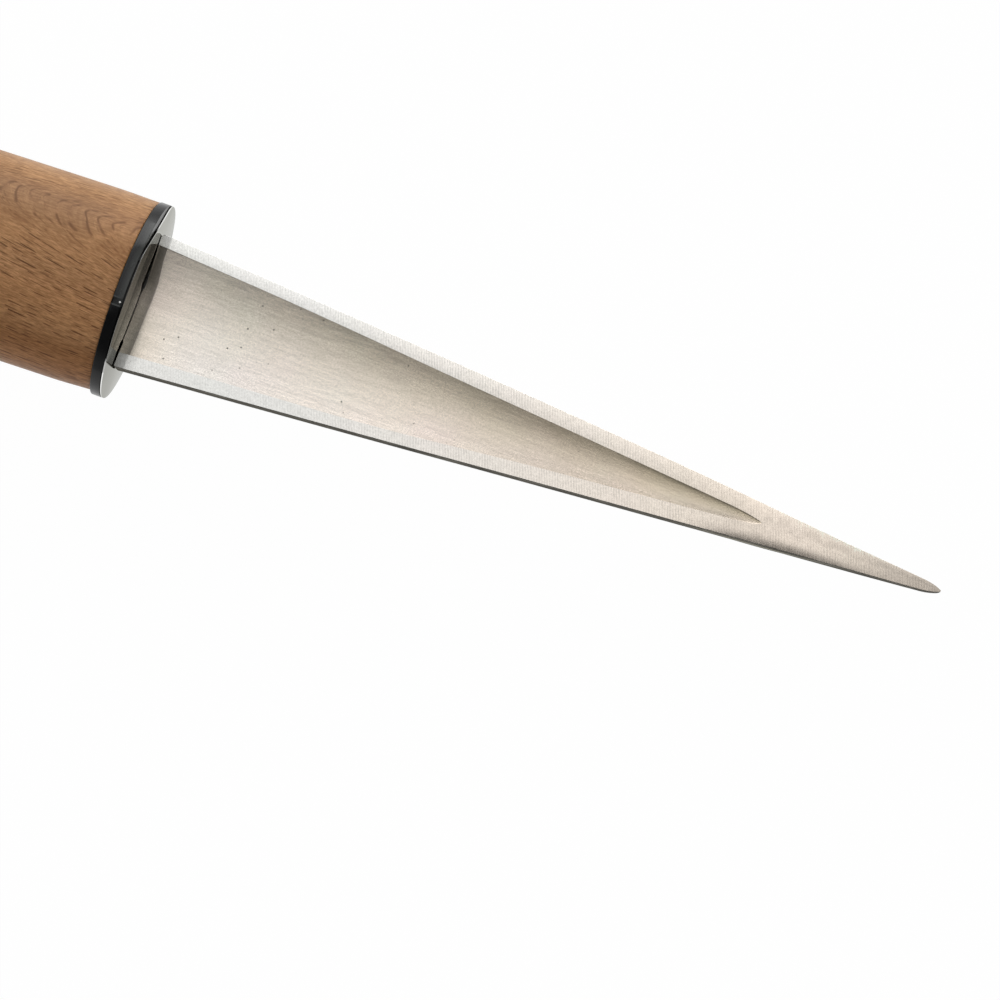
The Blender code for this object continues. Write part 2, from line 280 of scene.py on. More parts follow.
class GroupKit:
    """The node groups that several finishes share."""

    marks = (
        Marks(4.2, 0.95, 2.5, 0.140, 0.39, 3.7),
        Marks(2.9, 0.75, 1.7, 0.120, 0.33, 11.3),
        Marks(2.0, 0.50, 1.2, 0.15, 0.80, 23.9),
        Marks(1.4, 0.40, 0.9, 0.12, 0.80, 41.1),
    )
    shades = (
        ((-4.0, 1.0), (0.965, 0.955, 0.90)),
        # Painted shade on the lower side.
        ((-12.0, -15.5), (0.94, 0.84, 0.70)),
        # Painted light from the floor along the lowest edge.
        ((-16.0, -20.0), (1.12, 1.00, 0.84)),
    )
    comb_pitch = 0.47 * MM
    round_scale = 16.0
    turn_line = 9.3
    turn_sway = 5.0
    along_rise = 0.1
    slopes = (-0.22, -0.045)
    crowding = (0.38, 0.62, 0.55, 1.3)
    quiet_line = -2.0
    quiet_near = (3.0, 6.0, 0.35, 1.0)
    quiet_above = (1.0, 4.0, 1.0, 0.6)
    arc_gap = 0.27
    ring_pitch = 0.45

    def __init__(self) -> None:
        """Builds each group once."""
        self.brush = self._brush_lines()
        self.specks = self._specks()
        self.cloud = self._cloud()
        self.dashes = self._dashes()
        self.grain = self._beech_grain()
        self.end_grain = self._end_grain()

    @staticmethod
    def _start(name: str, inputs: Sockets, outputs: Sockets) -> tuple[NodeSketch, Any, Any]:
        """Makes an empty group.

        Args:
            name: the group's name.
            inputs: names of the inputs, with a default each, or None for a vector.
            outputs: names of the outputs, with the kind of each socket.

        Returns:
            The sketch, the group's inputs and its output node.
        """
        tree = bpy.data.node_groups.new(name, "ShaderNodeTree")
        for label, default in inputs.items():
            kind = "Vector" if default is None else "Float"
            socket = tree.interface.new_socket(label, in_out="INPUT", socket_type="NodeSocket" + kind)
            if default is not None:
                socket.default_value = default
        for label, kind in outputs.items():
            tree.interface.new_socket(label, in_out="OUTPUT", socket_type="NodeSocket" + kind)
        sketch = NodeSketch(tree)
        return sketch, sketch.add("NodeGroupInput").outputs, sketch.add("NodeGroupOutput")

    def _brush_lines(self) -> Tree:
        """Grinding marks: ragged fine lines, and an even comb. X of the vector runs across them."""
        inputs = {"Vector": None, "Pitch": 2000.0, "Run": 100.0}
        sketch, given, end = self._start("brush_lines", inputs, {"Lines": "Float", "Comb": "Float"})
        place = given["Vector"]
        stretched = sketch.scaled(place, sketch.joined(given["Pitch"], given["Run"], given["Run"]))
        fine = sketch.noise(stretched, 1.0, 2.0, 0.6)
        coarse = sketch.noise(stretched, 0.31, 2.0, 0.6)
        total = sketch.ramp(fine, 0.7, sketch.product(coarse, 0.3))
        wander = sketch.product(sketch.noise(place, 260.0, 2.0), 7.0)
        phase = sketch.ramp(sketch.parts(place)[0], math.tau / self.comb_pitch, wander)
        comb = sketch.ramp(sketch.value("SINE", phase), 0.5, 0.5)
        uneven = sketch.span(sketch.noise(place, 900.0, 2.0), 0.35, 0.6, 0.25, 1.0)
        sketch.feed(sketch.span(total, 0.36, 0.64), end, "Lines")
        sketch.feed(sketch.product(comb, uneven), end, "Comb")
        return sketch.tree

    def _specks(self) -> Tree:
        """Scattered round specks: a share of the cells of a pattern holds one each."""
        inputs = {"Vector": None, "Scale": 500.0, "Size": 0.2, "Share": 0.05}
        sketch, given, end = self._start("specks", inputs, {"Mask": "Float"})
        cells = sketch.add("TexVoronoi", {"Vector": given["Vector"], "Scale": given["Scale"]}).outputs
        chance = sketch.add("SeparateColor", {0: cells["Color"]}).outputs
        picked = sketch.value("LESS_THAN", chance[0], given["Share"])
        reach = sketch.product(given["Size"], sketch.value("ADD", chance[1], 0.4))
        near = sketch.value("SUBTRACT", 1.0, sketch.value("DIVIDE", cells["Distance"], reach))
        sketch.feed(sketch.product(sketch.span(near, 0.0, 0.45), picked), end, "Mask")
        return sketch.tree

    def _cloud(self) -> Tree:
        """Broad soft blotches from 0 to 1."""
        sketch, given, end = self._start("soft_cloud", {"Vector": None, "Scale": 60.0}, {"Cloud": "Float"})
        pattern = sketch.noise(given["Vector"], given["Scale"])
        sketch.feed(sketch.span(pattern, 0.3, 0.7), end, "Cloud")
        return sketch.tree

    def _dashes(self) -> Tree:
        """Short tapered marks that follow a direction: a share of the cells of a pattern holds one each."""
        names = ("Along", "Around", "Flow", "Fall", "Cell", "Spread", "Length", "Width", "Share", "Seed")
        sketch, given, end = self._start("dashes", dict.fromkeys(names, 1.0), {"Mask": "Float"})
        along, around = (
            sketch.value("ADD", sketch.value("DIVIDE", given[name], given[size]), given["Seed"])
            for name, size in (("Along", "Cell"), ("Around", "Spread"))
        )
        spot = sketch.joined(along, around)
        cells = sketch.add("TexVoronoi", {"Vector": spot, "Scale": 1.0}, voronoi_dimensions="2D").outputs
        apart = sketch.add("VectorMath", {0: spot, 1: cells["Position"]}, operation="SUBTRACT").outputs[0]
        parts = sketch.parts(apart)
        step = sketch.product(parts[0], given["Cell"])
        rise = sketch.product(parts[1], given["Spread"])
        run = sketch.ramp(step, given["Flow"], sketch.product(rise, given["Fall"]))
        skew = sketch.product(step, given["Fall"])
        off = sketch.value("SUBTRACT", sketch.product(rise, given["Flow"]), skew)
        chance = sketch.add("SeparateColor", {0: cells["Color"]}).outputs
        reach = sketch.product(given["Length"], sketch.ramp(chance[1], 0.9, 0.4))
        thick = sketch.product(given["Width"], sketch.ramp(chance[2], 0.7, 0.5))
        far = sketch.square(sketch.value("DIVIDE", run, reach))
        wide = sketch.square(sketch.value("DIVIDE", off, thick))
        mark = sketch.span(sketch.value("ADD", far, wide), 1.0, 0.3)
        picked = sketch.value("LESS_THAN", chance[0], given["Share"])
        sketch.feed(sketch.product(mark, picked, sketch.ramp(chance[1], 0.4, 0.6)), end, "Mask")
        return sketch.tree

    def _beech_grain(self) -> Tree:
        """Beech cut along the grain: fine lines that turn over in arcs on one side, and short dark flecks.

        The vector is in millimetres from the knife's axis. The grain is laid round the grip, from a line
        where its arcs turn over.
        """
        outputs = {"Color": "Color", "Flecks": "Float"}
        sketch, given, end = self._start("beech_grain", {"Vector": None}, outputs)
        place = given["Vector"]
        parts = sketch.parts(place)
        around = sketch.product(sketch.value("ARCTAN2", parts[1], parts[2]), self.round_scale)
        sway = sketch.stretched(place, (0.05, 0.10, 0.10), 2.0)
        height = sketch.value("SUBTRACT", around, sketch.ramp(sway, self.turn_sway, self.turn_line))
        above = sketch.product(sketch.value("MAXIMUM", height, 0.0), self.slopes[0])
        slope = sketch.ramp(sketch.value("MINIMUM", height, 0.0), self.slopes[1], above)
        size = sketch.value("SQRT", sketch.ramp(slope, slope, self.along_rise**2))
        ring = sketch.ramp(parts[0], self.along_rise, sketch.product(slope, height, 0.5))

        crowd = sketch.span(sketch.stretched(place, (0.10, 0.25, 0.25)), *self.crowding)
        shared = {"Along": parts[0], "Around": around, "Flow": sketch.value("DIVIDE", slope, size)}
        shared["Fall"] = sketch.value("DIVIDE", -self.along_rise, size)
        marks = []
        for layer in self.marks:
            sockets = shared | {name.title(): value for name, value in asdict(layer).items()}
            sockets["Share"] = sketch.product(crowd, layer.share)
            marks.append(sketch.group(self.dashes, sockets)[0])
        away = sketch.value("ABSOLUTE", sketch.value("ADD", height, -self.quiet_line))
        quiet = sketch.product(sketch.span(away, *self.quiet_near), sketch.span(height, *self.quiet_above))
        flecks = sketch.product(sketch.value("MAXIMUM", *marks[:2]), quiet)
        threads = sketch.product(sketch.value("MAXIMUM", *marks[2:]), quiet)
        arcs = self._arcs(sketch, place, ring, size, height)
        follow = sketch.joined(sketch.product(parts[0], 0.12), ring, 0.0)
        pale = sketch.span(sketch.stretched(follow, (1.0, 2.2, 1.0)), 0.35, 0.65)
        fine = sketch.span(sketch.stretched(follow, (5.0, 9.0, 1.0), rough=0.65), 0.38, 0.62)
        pores = sketch.span(sketch.stretched(place, (0.5, 2.8, 2.8), rough=0.7), 0.40, 0.60)

        wood = sketch.mix(pale, BeechTone.DULL.value, BeechTone.PALE.value)
        layers = (
            (sketch.product(fine, 0.36), BeechTone.FINE),
            # Painted light: the grip's upper side is paler.
            (sketch.span(around, 14.0, 19.0, 0.0, 0.55), BeechTone.LIT_SIDE),
            (sketch.product(pores, 0.56), BeechTone.PORE),
            (sketch.product(threads, 0.50), BeechTone.THREAD),
            (sketch.product(arcs, 0.85), BeechTone.ARC),
            (sketch.product(flecks, 0.92), BeechTone.FLECK),
        )
        for mask, tone in layers:
            wood = sketch.mix(mask, wood, tone.value)
        sketch.feed(self._shaded(sketch, wood, around, parts[0]), end, "Color")
        sunk = sketch.value("MAXIMUM", flecks, sketch.product(threads, 0.4))
        sketch.feed(sunk, end, "Flecks")
        return sketch.tree

    def _shaded(self, sketch: NodeSketch, wood: Any, around: Any, along: Any) -> Any:
        """Darkens and lightens the wood in broad bands along the grip, with painted shade that darkens and
        warms its lower side and painted light from the floor along its lowest edge.

        Args:
            sketch: the group's sketch.
            wood: the wood's colour.
            around: the place round the grip, in millimetres.
            along: the place along the grip, in millimetres.

        Returns:
            The shaded colour.
        """
        dark = sketch.product(
            sketch.span(around, 3.0, 9.0),
            sketch.span(around, 17.5, 13.0),
            sketch.span(along, -7.0, -12.0, 0.35, 1.0),
        )
        light = sketch.product(sketch.span(around, -1.0, -5.0), sketch.span(around, -14.5, -11.0))
        band = sketch.ramp(light, 0.23, sketch.span(dark, 0.0, 1.0, 1.11, 0.83))
        shade: Any = (1.0, 1.0, 1.0)
        for limits, hue in self.shades:
            shade = sketch.mix(sketch.span(around, *limits), shade, hue)
        return sketch.tint(sketch.dim(wood, band), shade)

    def _end_grain(self) -> Tree:
        """Beech cut across the grain: rings round the middle of its tree, and fine pores."""
        inputs = {"Vector": None, "Pith Y": 26.0, "Pith Z": -18.0}
        sketch, given, end = self._start("end_grain", inputs, {"Color": "Color"})
        place = given["Vector"]
        pith = sketch.joined(sketch.parts(place)[0], given["Pith Y"], given["Pith Z"])
        away = sketch.add("VectorMath", {0: place, 1: pith}, operation="DISTANCE").outputs["Value"]
        sway = sketch.stretched(place, (0.1, 0.1, 0.1), 2.0)
        phase = sketch.value("FRACT", sketch.ramp(away, self.ring_pitch, sketch.product(sway, 2.0)))
        ring = sketch.product(sketch.span(phase, 0.45, 0.9), sketch.span(phase, 1.0, 0.95))
        pores = sketch.span(sketch.noise(place, 3.2, 2.0, 0.6), 0.52, 0.64)
        wood = sketch.mix(sketch.product(ring, 0.55), CutTone.GROUND.value, CutTone.RING.value)
        wood = sketch.mix(sketch.product(pores, 0.45), wood, CutTone.PORE.value)
        sketch.feed(wood, end, "Color")
        return sketch.tree

    def _arcs(self, sketch: NodeSketch, vector: Any, ring: Any, size: Any, height: Any) -> Any:
        """Broken dark arcs where the grain turns over.

        Args:
            sketch: the group's sketch.
            vector: the place in millimetres.
            ring: a value that is level along the grain.
            size: how fast that value rises per millimetre.
            height: the distance from the line where the grain turns over.

        Returns:
            The arcs' mask.
        """
        wander = sketch.product(sketch.stretched(vector, (0.14, 0.22, 0.22), 1.0), 1.8)
        phase = sketch.value("FRACT", sketch.value("ADD", sketch.value("DIVIDE", ring, self.arc_gap), wander))
        off = sketch.product(sketch.value("ABSOLUTE", sketch.value("SUBTRACT", phase, 0.5)), self.arc_gap)
        line = sketch.span(sketch.value("DIVIDE", off, size), 0.36, 0.08)
        broken = sketch.span(sketch.stretched(vector, (0.40, 0.45, 0.45), 2.0), 0.44, 0.58)
        near = sketch.product(sketch.span(height, -8.0, -4.0), sketch.span(height, 2.6, 1.0))
        return sketch.product(line, broken, near)


@dataclass(frozen=True)
class Finish:
    """A finish: what all of them share.

    Pitch, run and scales are per metre. Places are in millimetres, or in metres where MM stands beside them.
    A span is two places and then its levels there. Rough is the roughness outside and inside a mask, and
    relief is a bump's strength and depth.
    """

    name: str
    origin: Vector
    kit: GroupKit
    metallic: float = 0.0
    specular: float = 0.5
    edge_tint: Colour = (1.0, 1.0, 1.0)
    anisotropy: float = 0.0
    rough: Pair = (0.5, 0.5)
    relief: Pair = (0.0, 0.0)
    pitch: float = 3000.0
    run: float = 240.0
    cloud_scale: float = 85.0
    speck_scale: float = 900.0
    speck_size: float = 0.2

    def material(self) -> Material:
        """Makes the node material, whose pattern reads Object coordinates."""
        made = bpy.data.materials.new(self.name)
        made.use_nodes = True
        sketch, shader = NodeSketch(made.node_tree), made.node_tree.nodes["Principled BSDF"]
        sketch.feed(self.metallic, shader, "Metallic")
        sketch.feed(self.specular, shader, "Specular IOR Level")
        sketch.feed((*self.edge_tint, 1.0), shader, "Specular Tint")
        sketch.feed(self.anisotropy, shader, "Anisotropic")
        tone, dull = self.dress(sketch, shader)
        sketch.feed(tone, shader, "Base Color")
        sketch.feed(sketch.span(dull, 0.0, 1.0, *self.rough), shader, "Roughness")
        return made

    def place(self, sketch: NodeSketch, turn: Sequence[float] = (0.0, 0.0, 0.0), scale: float = 1.0) -> Any:
        """Coordinates measured from the knife's axis, turned and scaled, as an output socket."""
        local = sketch.add("TexCoord").outputs["Object"]
        moved = sketch.add("VectorMath", {0: local, 1: tuple(self.origin)}, operation="SUBTRACT").outputs[0]
        turned = sketch.add("Mapping", {"Vector": moved, "Rotation": tuple(turn), "Scale": (scale,) * 3})
        return turned.outputs[0]

    def parts(self, sketch: NodeSketch) -> Any:
        """The place in millimetres, as three outputs."""
        return sketch.parts(self.place(sketch, scale=1.0 / MM))

    def brushed(self, sketch: NodeSketch, place: Any) -> Any:
        """Grinding lines, as the group's outputs."""
        return sketch.group(self.kit.brush, {"Vector": place, "Pitch": self.pitch, "Run": self.run})

    def cloud(self, sketch: NodeSketch, place: Any) -> Any:
        """Soft blotches, as an output."""
        return sketch.group(self.kit.cloud, {"Vector": place, "Scale": self.cloud_scale})[0]

    def specks(self, sketch: NodeSketch, place: Any, share: Any) -> Any:
        """Round specks in a share of the cells, as an output."""
        sockets = {"Vector": place, "Scale": self.speck_scale, "Size": self.speck_size, "Share": share}
        return sketch.group(self.kit.specks, sockets)[0]

    def bump(self, sketch: NodeSketch, shader: Node, height: Any) -> None:
        """Raises the surface a little where the height is large."""
        strength, depth = self.relief
        bump = sketch.add("Bump", {"Height": height, "Strength": strength, "Distance": depth})
        sketch.feed(bump.outputs[0], shader, "Normal")

    def dress(self, sketch: NodeSketch, shader: Node) -> tuple[Any, Any]:
        """Draws the finish's own nodes.

        Args:
            sketch: the material's sketch.
            shader: its shader, for what only this finish sets.

        Returns:
            The colour and the mask of the roughness, as outputs.
        """
        raise NotImplementedError


@dataclass(frozen=True)
class GroundSteel(Finish):
    """Ground blade steel with its lines in one direction."""

    metallic: float = 1.0
    anisotropy: float = 0.5
    rough: Pair = (0.28, 0.23)
    relief: Pair = (0.08, 0.02 * MM)
    speck_size: float = 0.17
    turn: float = 0.0
    shadow: float = 0.93
    comb: float = 0.0
    comb_run: Range = (25.0, 60.0, 0.35, 1.0)
    grit: float = 0.10
    grain: float = 2500.0
    heel_colour: Colour = (0.86, 0.855, 0.83)
    point_colour: Colour = (0.98, 0.87, 0.755)
    change: Pair = (30.0, 115.0)
    stain: float = 0.25
    stain_hues: tuple[Colour, Colour] = ((1.0, 0.95, 0.95), (0.96, 0.98, 0.93))
    late_stain: float = 0.6
    late_scale: float = 140.0
    late_hue: Colour = (1.0, 0.96, 0.90)
    pit_share: float = 0.0
    pit_crowd: float = 70.0
    pit_colour: Colour = (0.07, 0.065, 0.055)
    pit_depth: float = 0.9

    def dress(self, sketch: NodeSketch, shader: Node) -> tuple[Any, Any]:
        """Draws grinding marks, a change of tone along the blade, faint stains and pits, and the painted light
        and shade of its level.
        """
        straight = self.place(sketch)
        parts = self.parts(sketch)
        lines, comb = self.brushed(sketch, self.place(sketch, (0.0, 0.0, self.turn)))
        combed = sketch.product(comb, sketch.span(parts[0], *self.comb_run), self.comb)
        mottle = sketch.noise(straight, self.grain, 2.0, 0.65)
        level = sketch.product(
            sketch.fade(lines, self.shadow),
            sketch.value("SUBTRACT", 1.0, combed),
            sketch.span(mottle, 0.3, 0.7, 1.0 + self.grit, 1.0 - self.grit),
            # Painted light and shade of each zone.
            self.level(sketch, parts),
        )
        tone = sketch.dim(self._stained(sketch, straight, parts[0]), level)
        crowd = sketch.span(sketch.noise(straight, self.pit_crowd, 1.0), 0.5, 0.62, 0.15, 1.0)
        pits = self.specks(sketch, straight, sketch.product(crowd, self.pit_share))
        tangent = sketch.add("Tangent", direction_type="UV_MAP", uv_map="brush")
        sketch.feed(tangent.outputs[0], shader, "Tangent")
        self.bump(sketch, shader, sketch.value("SUBTRACT", lines, pits))
        return sketch.mix(sketch.product(pits, self.pit_depth), tone, self.pit_colour), lines

    def _stained(self, sketch: NodeSketch, place: Any, along: Any) -> Any:
        """The steel's colour: it warms towards the point and has faint stains of three tints."""
        tone = sketch.mix(sketch.span(along, *self.change), self.heel_colour, self.point_colour)
        turned = sketch.scaled(place, (-1.0, 1.0, 1.0))
        late = sketch.group(self.kit.cloud, {"Vector": turned, "Scale": self.late_scale})[0]
        hue = sketch.mix(self.cloud(sketch, place), *self.stain_hues)
        hue = sketch.mix(sketch.product(late, self.late_stain), hue, self.late_hue)
        return sketch.mix(self.stain, tone, sketch.tint(tone, hue))

    def level(self, sketch: NodeSketch, parts: Any) -> Any:
        """How light the steel is at a place, as painted light and shade.

        Args:
            sketch: the material's sketch.
            parts: the place in millimetres, as three outputs.

        Returns:
            The level as an output.
        """
        raise NotImplementedError


@dataclass(frozen=True)
class RimSteel(GroundSteel):
    """The flat rims and the point, which are ground across."""

    comb: float = 0.18
    # Painted light: the upper rim gets lighter towards its upper edge.
    upper: Range = (0.0, 1.0, 0.815, 1.02)
    lower: Range = (15.0, 60.0, 0.865, 0.90)
    lower_side: Pair = (-0.5, -1.0)
    # Painted shadow of the bolster on the rims beside the heel.
    heel_strip: Range = (1.85, 2.15, 0.66, 1.0)
    lift: Range = (112.0, 128.0, 1.0, 1.16)
    # Painted shade towards the tip, lighter on one side of it.
    tip: Range = (133.0, 149.5, 1.0, 0.70)
    tip_run: Pair = (128.0, 138.0)
    tip_tilt: Range = (-1.8, 1.8, -0.07, 0.09)
    # Painted shade under the lower edge, where it is worn round near the point.
    under_run: tuple[Pair, Pair] = ((109.0, 112.0), (122.0, 118.0))
    under_tone: float = 0.94
    # Painted shadow of the bolster on the lower rim at the heel.
    low_heel: Pair = (4.0, 0.8)
    low_heel_tone: float = 0.76
    # Painted shade on the tang's shoulder, in the gap beside the heel.
    corner: tuple[Pair, Pair] = ((0.06, 0.02), (1.8, 2.8))
    corner_tone: float = 0.08

    def level(self, sketch: NodeSketch, parts: Any) -> Any:
        """Painted light and shade: lighter towards the upper edge, a painted shadow beside the bolster, and
        painted shade at the tip, in the shoulder's corners and under the lower edge near the point.
        """
        along, aside = parts[:2]
        outward = sketch.attribute("outward")
        below = sketch.span(outward, *self.lower_side)
        step = sketch.value("SUBTRACT", sketch.span(along, *self.lower), self.upper[2])
        tilt = sketch.product(sketch.span(aside, *self.tip_tilt), sketch.span(along, *self.tip_run))
        under = sketch.product(below, *(sketch.span(along, *end) for end in self.under_run))
        corner = sketch.product(sketch.span(along, *self.corner[0]), sketch.span(aside, *self.corner[1]))
        return sketch.product(
            sketch.ramp(below, step, sketch.span(outward, *self.upper)),
            sketch.span(along, *self.heel_strip),
            sketch.span(along, *self.lift),
            sketch.span(along, *self.tip),
            sketch.value("ADD", tilt, 1.0),
            sketch.fade(under, self.under_tone),
            sketch.fade(sketch.product(below, sketch.span(along, *self.low_heel)), self.low_heel_tone),
            sketch.fade(corner, self.corner_tone),
        )


@dataclass(frozen=True)
class HollowSteel(GroundSteel):
    """The hollow, which is ground lengthwise."""

    anisotropy: float = 1.0
    rough: Pair = (0.255, 0.235)
    relief: Pair = (0.02, 0.02 * MM)
    pitch: float = 3200.0
    run: float = 260.0
    turn: float = -QUARTER
    shadow: float = 0.84
    grit: float = 0.13
    grain: float = 3600.0
    heel_colour: Colour = (0.79, 0.742, 0.705)
    point_colour: Colour = (0.80, 0.692, 0.570)
    change: Pair = (5.0, 95.0)
    stain: float = 0.7
    pit_share: float = 0.20
    # Painted shadow of the bolster in the hollow beside the heel: its edge, depth and softness.
    strip: Range = (4.0, 8.0, 2.2, 1.72)
    strip_gain: Range = (-2.0, 1.0, 0.0, 0.13)
    strip_soft: Pair = (-0.06, 0.06)
    strip_low: Range = (0.3, 2.2, 1.0, 0.40)
    strip_joint: Range = (0.2, 0.5, 0.85, 0.33)
    strip_upper: Pair = (0.0, 4.5)
    # Painted shade that eases off past the bolster's shadow.
    fade_run: Range = (2.2, 8.0, 1.0, 0.0)
    fade_tones: tuple[Range, Range] = ((0.06, 0.25, -0.12, -0.25), (0.35, 0.60, 0.0, 0.09))
    hues: tuple[Colour, Colour] = ((0.955, 0.960, 0.885), (0.985, 1.0, 1.030))
    hue_change: Pair = (0.15, 0.9)
    heel_hue: Colour = (1.0, 0.965, 0.905)
    heel_hue_run: Pair = (14.0, 4.0)
    heel: tuple[Range, Range] = ((50.0, 25.0), (0.2, 0.9, 0.05, -0.05))
    dull_run: tuple[Pair, Pair] = ((54.0, 72.0), (96.0, 80.0))
    dull_tone: float = 0.93
    nose: tuple[Pair, Pair] = ((106.0, 113.0), (0.30, 0.55))
    nose_tone: float = 0.87
    # Painted shade on the hollow's upper wall towards the point.
    line: tuple[Pair, Pair] = ((84.0, 100.0), (0.15, 0.05))
    line_tone: float = 0.66

    def _stained(self, sketch: NodeSketch, place: Any, along: Any) -> Any:
        """The steel's colour, cooler towards the hollow's lower edge."""
        hue = sketch.mix(sketch.span(sketch.attribute("across"), *self.hue_change), *self.hues)
        hue = sketch.mix(sketch.span(along, *self.heel_hue_run), hue, self.heel_hue)
        return sketch.tint(super()._stained(sketch, place, along), hue)

    def level(self, sketch: NodeSketch, parts: Any) -> Any:
        """Painted shadow of the bolster: a dark strip beside it with a sharp edge, and a soft rise past it;
        painted shade on the upper wall towards the point; darker in the middle and at the nose.
        """
        along, aside = parts[:2]
        across = sketch.attribute("across")
        # Painted shadow of the bolster: a dark strip with a sharp edge beside it.
        gain = sketch.span(aside, *self.strip_gain)
        edge = sketch.value("ADD", sketch.span(aside, *self.strip), gain)
        inside = sketch.span(sketch.value("SUBTRACT", edge, along), *self.strip_soft)
        low = sketch.span(along, *self.strip_low)
        joint = sketch.value("SUBTRACT", sketch.span(along, *self.strip_joint), low)
        strip = sketch.ramp(sketch.span(aside, *self.strip_upper), joint, low)
        # Painted shade that eases off past the strip.
        fade = sketch.value("ADD", *(sketch.span(across, *tone) for tone in self.fade_tones))
        beyond = sketch.ramp(sketch.span(along, *self.fade_run), fade, 1.0)
        nose, line, heel = (
            sketch.product(sketch.span(along, *run), sketch.span(across, *rows))
            for run, rows in (self.nose, self.line, self.heel)
        )
        dull = sketch.product(*(sketch.span(along, *end) for end in self.dull_run))
        return sketch.product(
            sketch.ramp(inside, sketch.value("SUBTRACT", strip, beyond), beyond),
            sketch.value("ADD", heel, 1.0),
            sketch.fade(dull, self.dull_tone),
            sketch.fade(nose, self.nose_tone),
            # Painted shade on the upper wall.
            sketch.fade(line, self.line_tone),
        )


@dataclass(frozen=True)
class DarkSteel(Finish):
    """Darkened steel of the blade's narrow sides and its tang."""

    metallic: float = 1.0
    edge_tint: Colour = (0.10, 0.10, 0.09)
    rough: Pair = (0.55, 0.4)
    pitch: float = 2600.0
    run: float = 60.0
    cloud_scale: float = 140.0
    low_colour: Colour = (0.20, 0.19, 0.17)
    high_colour: Colour = (0.46, 0.44, 0.39)
    # Painted highlight: a light line along the narrow sides near the point.
    worn_colour: Colour = (0.62, 0.60, 0.52)
    worn_height: float = 0.9
    worn_soft: Pair = (0.6, 0.35)
    worn_run: tuple[Pair, Pair] = ((98.0, 112.0), (136.0, 122.0))

    def dress(self, sketch: NodeSketch, shader: Node) -> tuple[Any, Any]:
        """Draws lengthwise lines and blotches in a dark tone, and a painted highlight line along the narrow
        sides near the point.
        """
        lines = self.brushed(sketch, self.place(sketch, (QUARTER, 0.0, -QUARTER)))[0]
        share = sketch.product(lines, self.cloud(sketch, self.place(sketch)))
        tone = sketch.mix(share, self.low_colour, self.high_colour)
        parts = self.parts(sketch)
        # Painted highlight line at one height on the sides, near the point.
        off = sketch.value("ABSOLUTE", sketch.value("SUBTRACT", parts[2], self.worn_height))
        worn = sketch.product(*(sketch.span(parts[0], *end) for end in self.worn_run))
        worn = sketch.product(sketch.span(off, *self.worn_soft), worn)
        return sketch.mix(worn, tone, self.worn_colour), lines


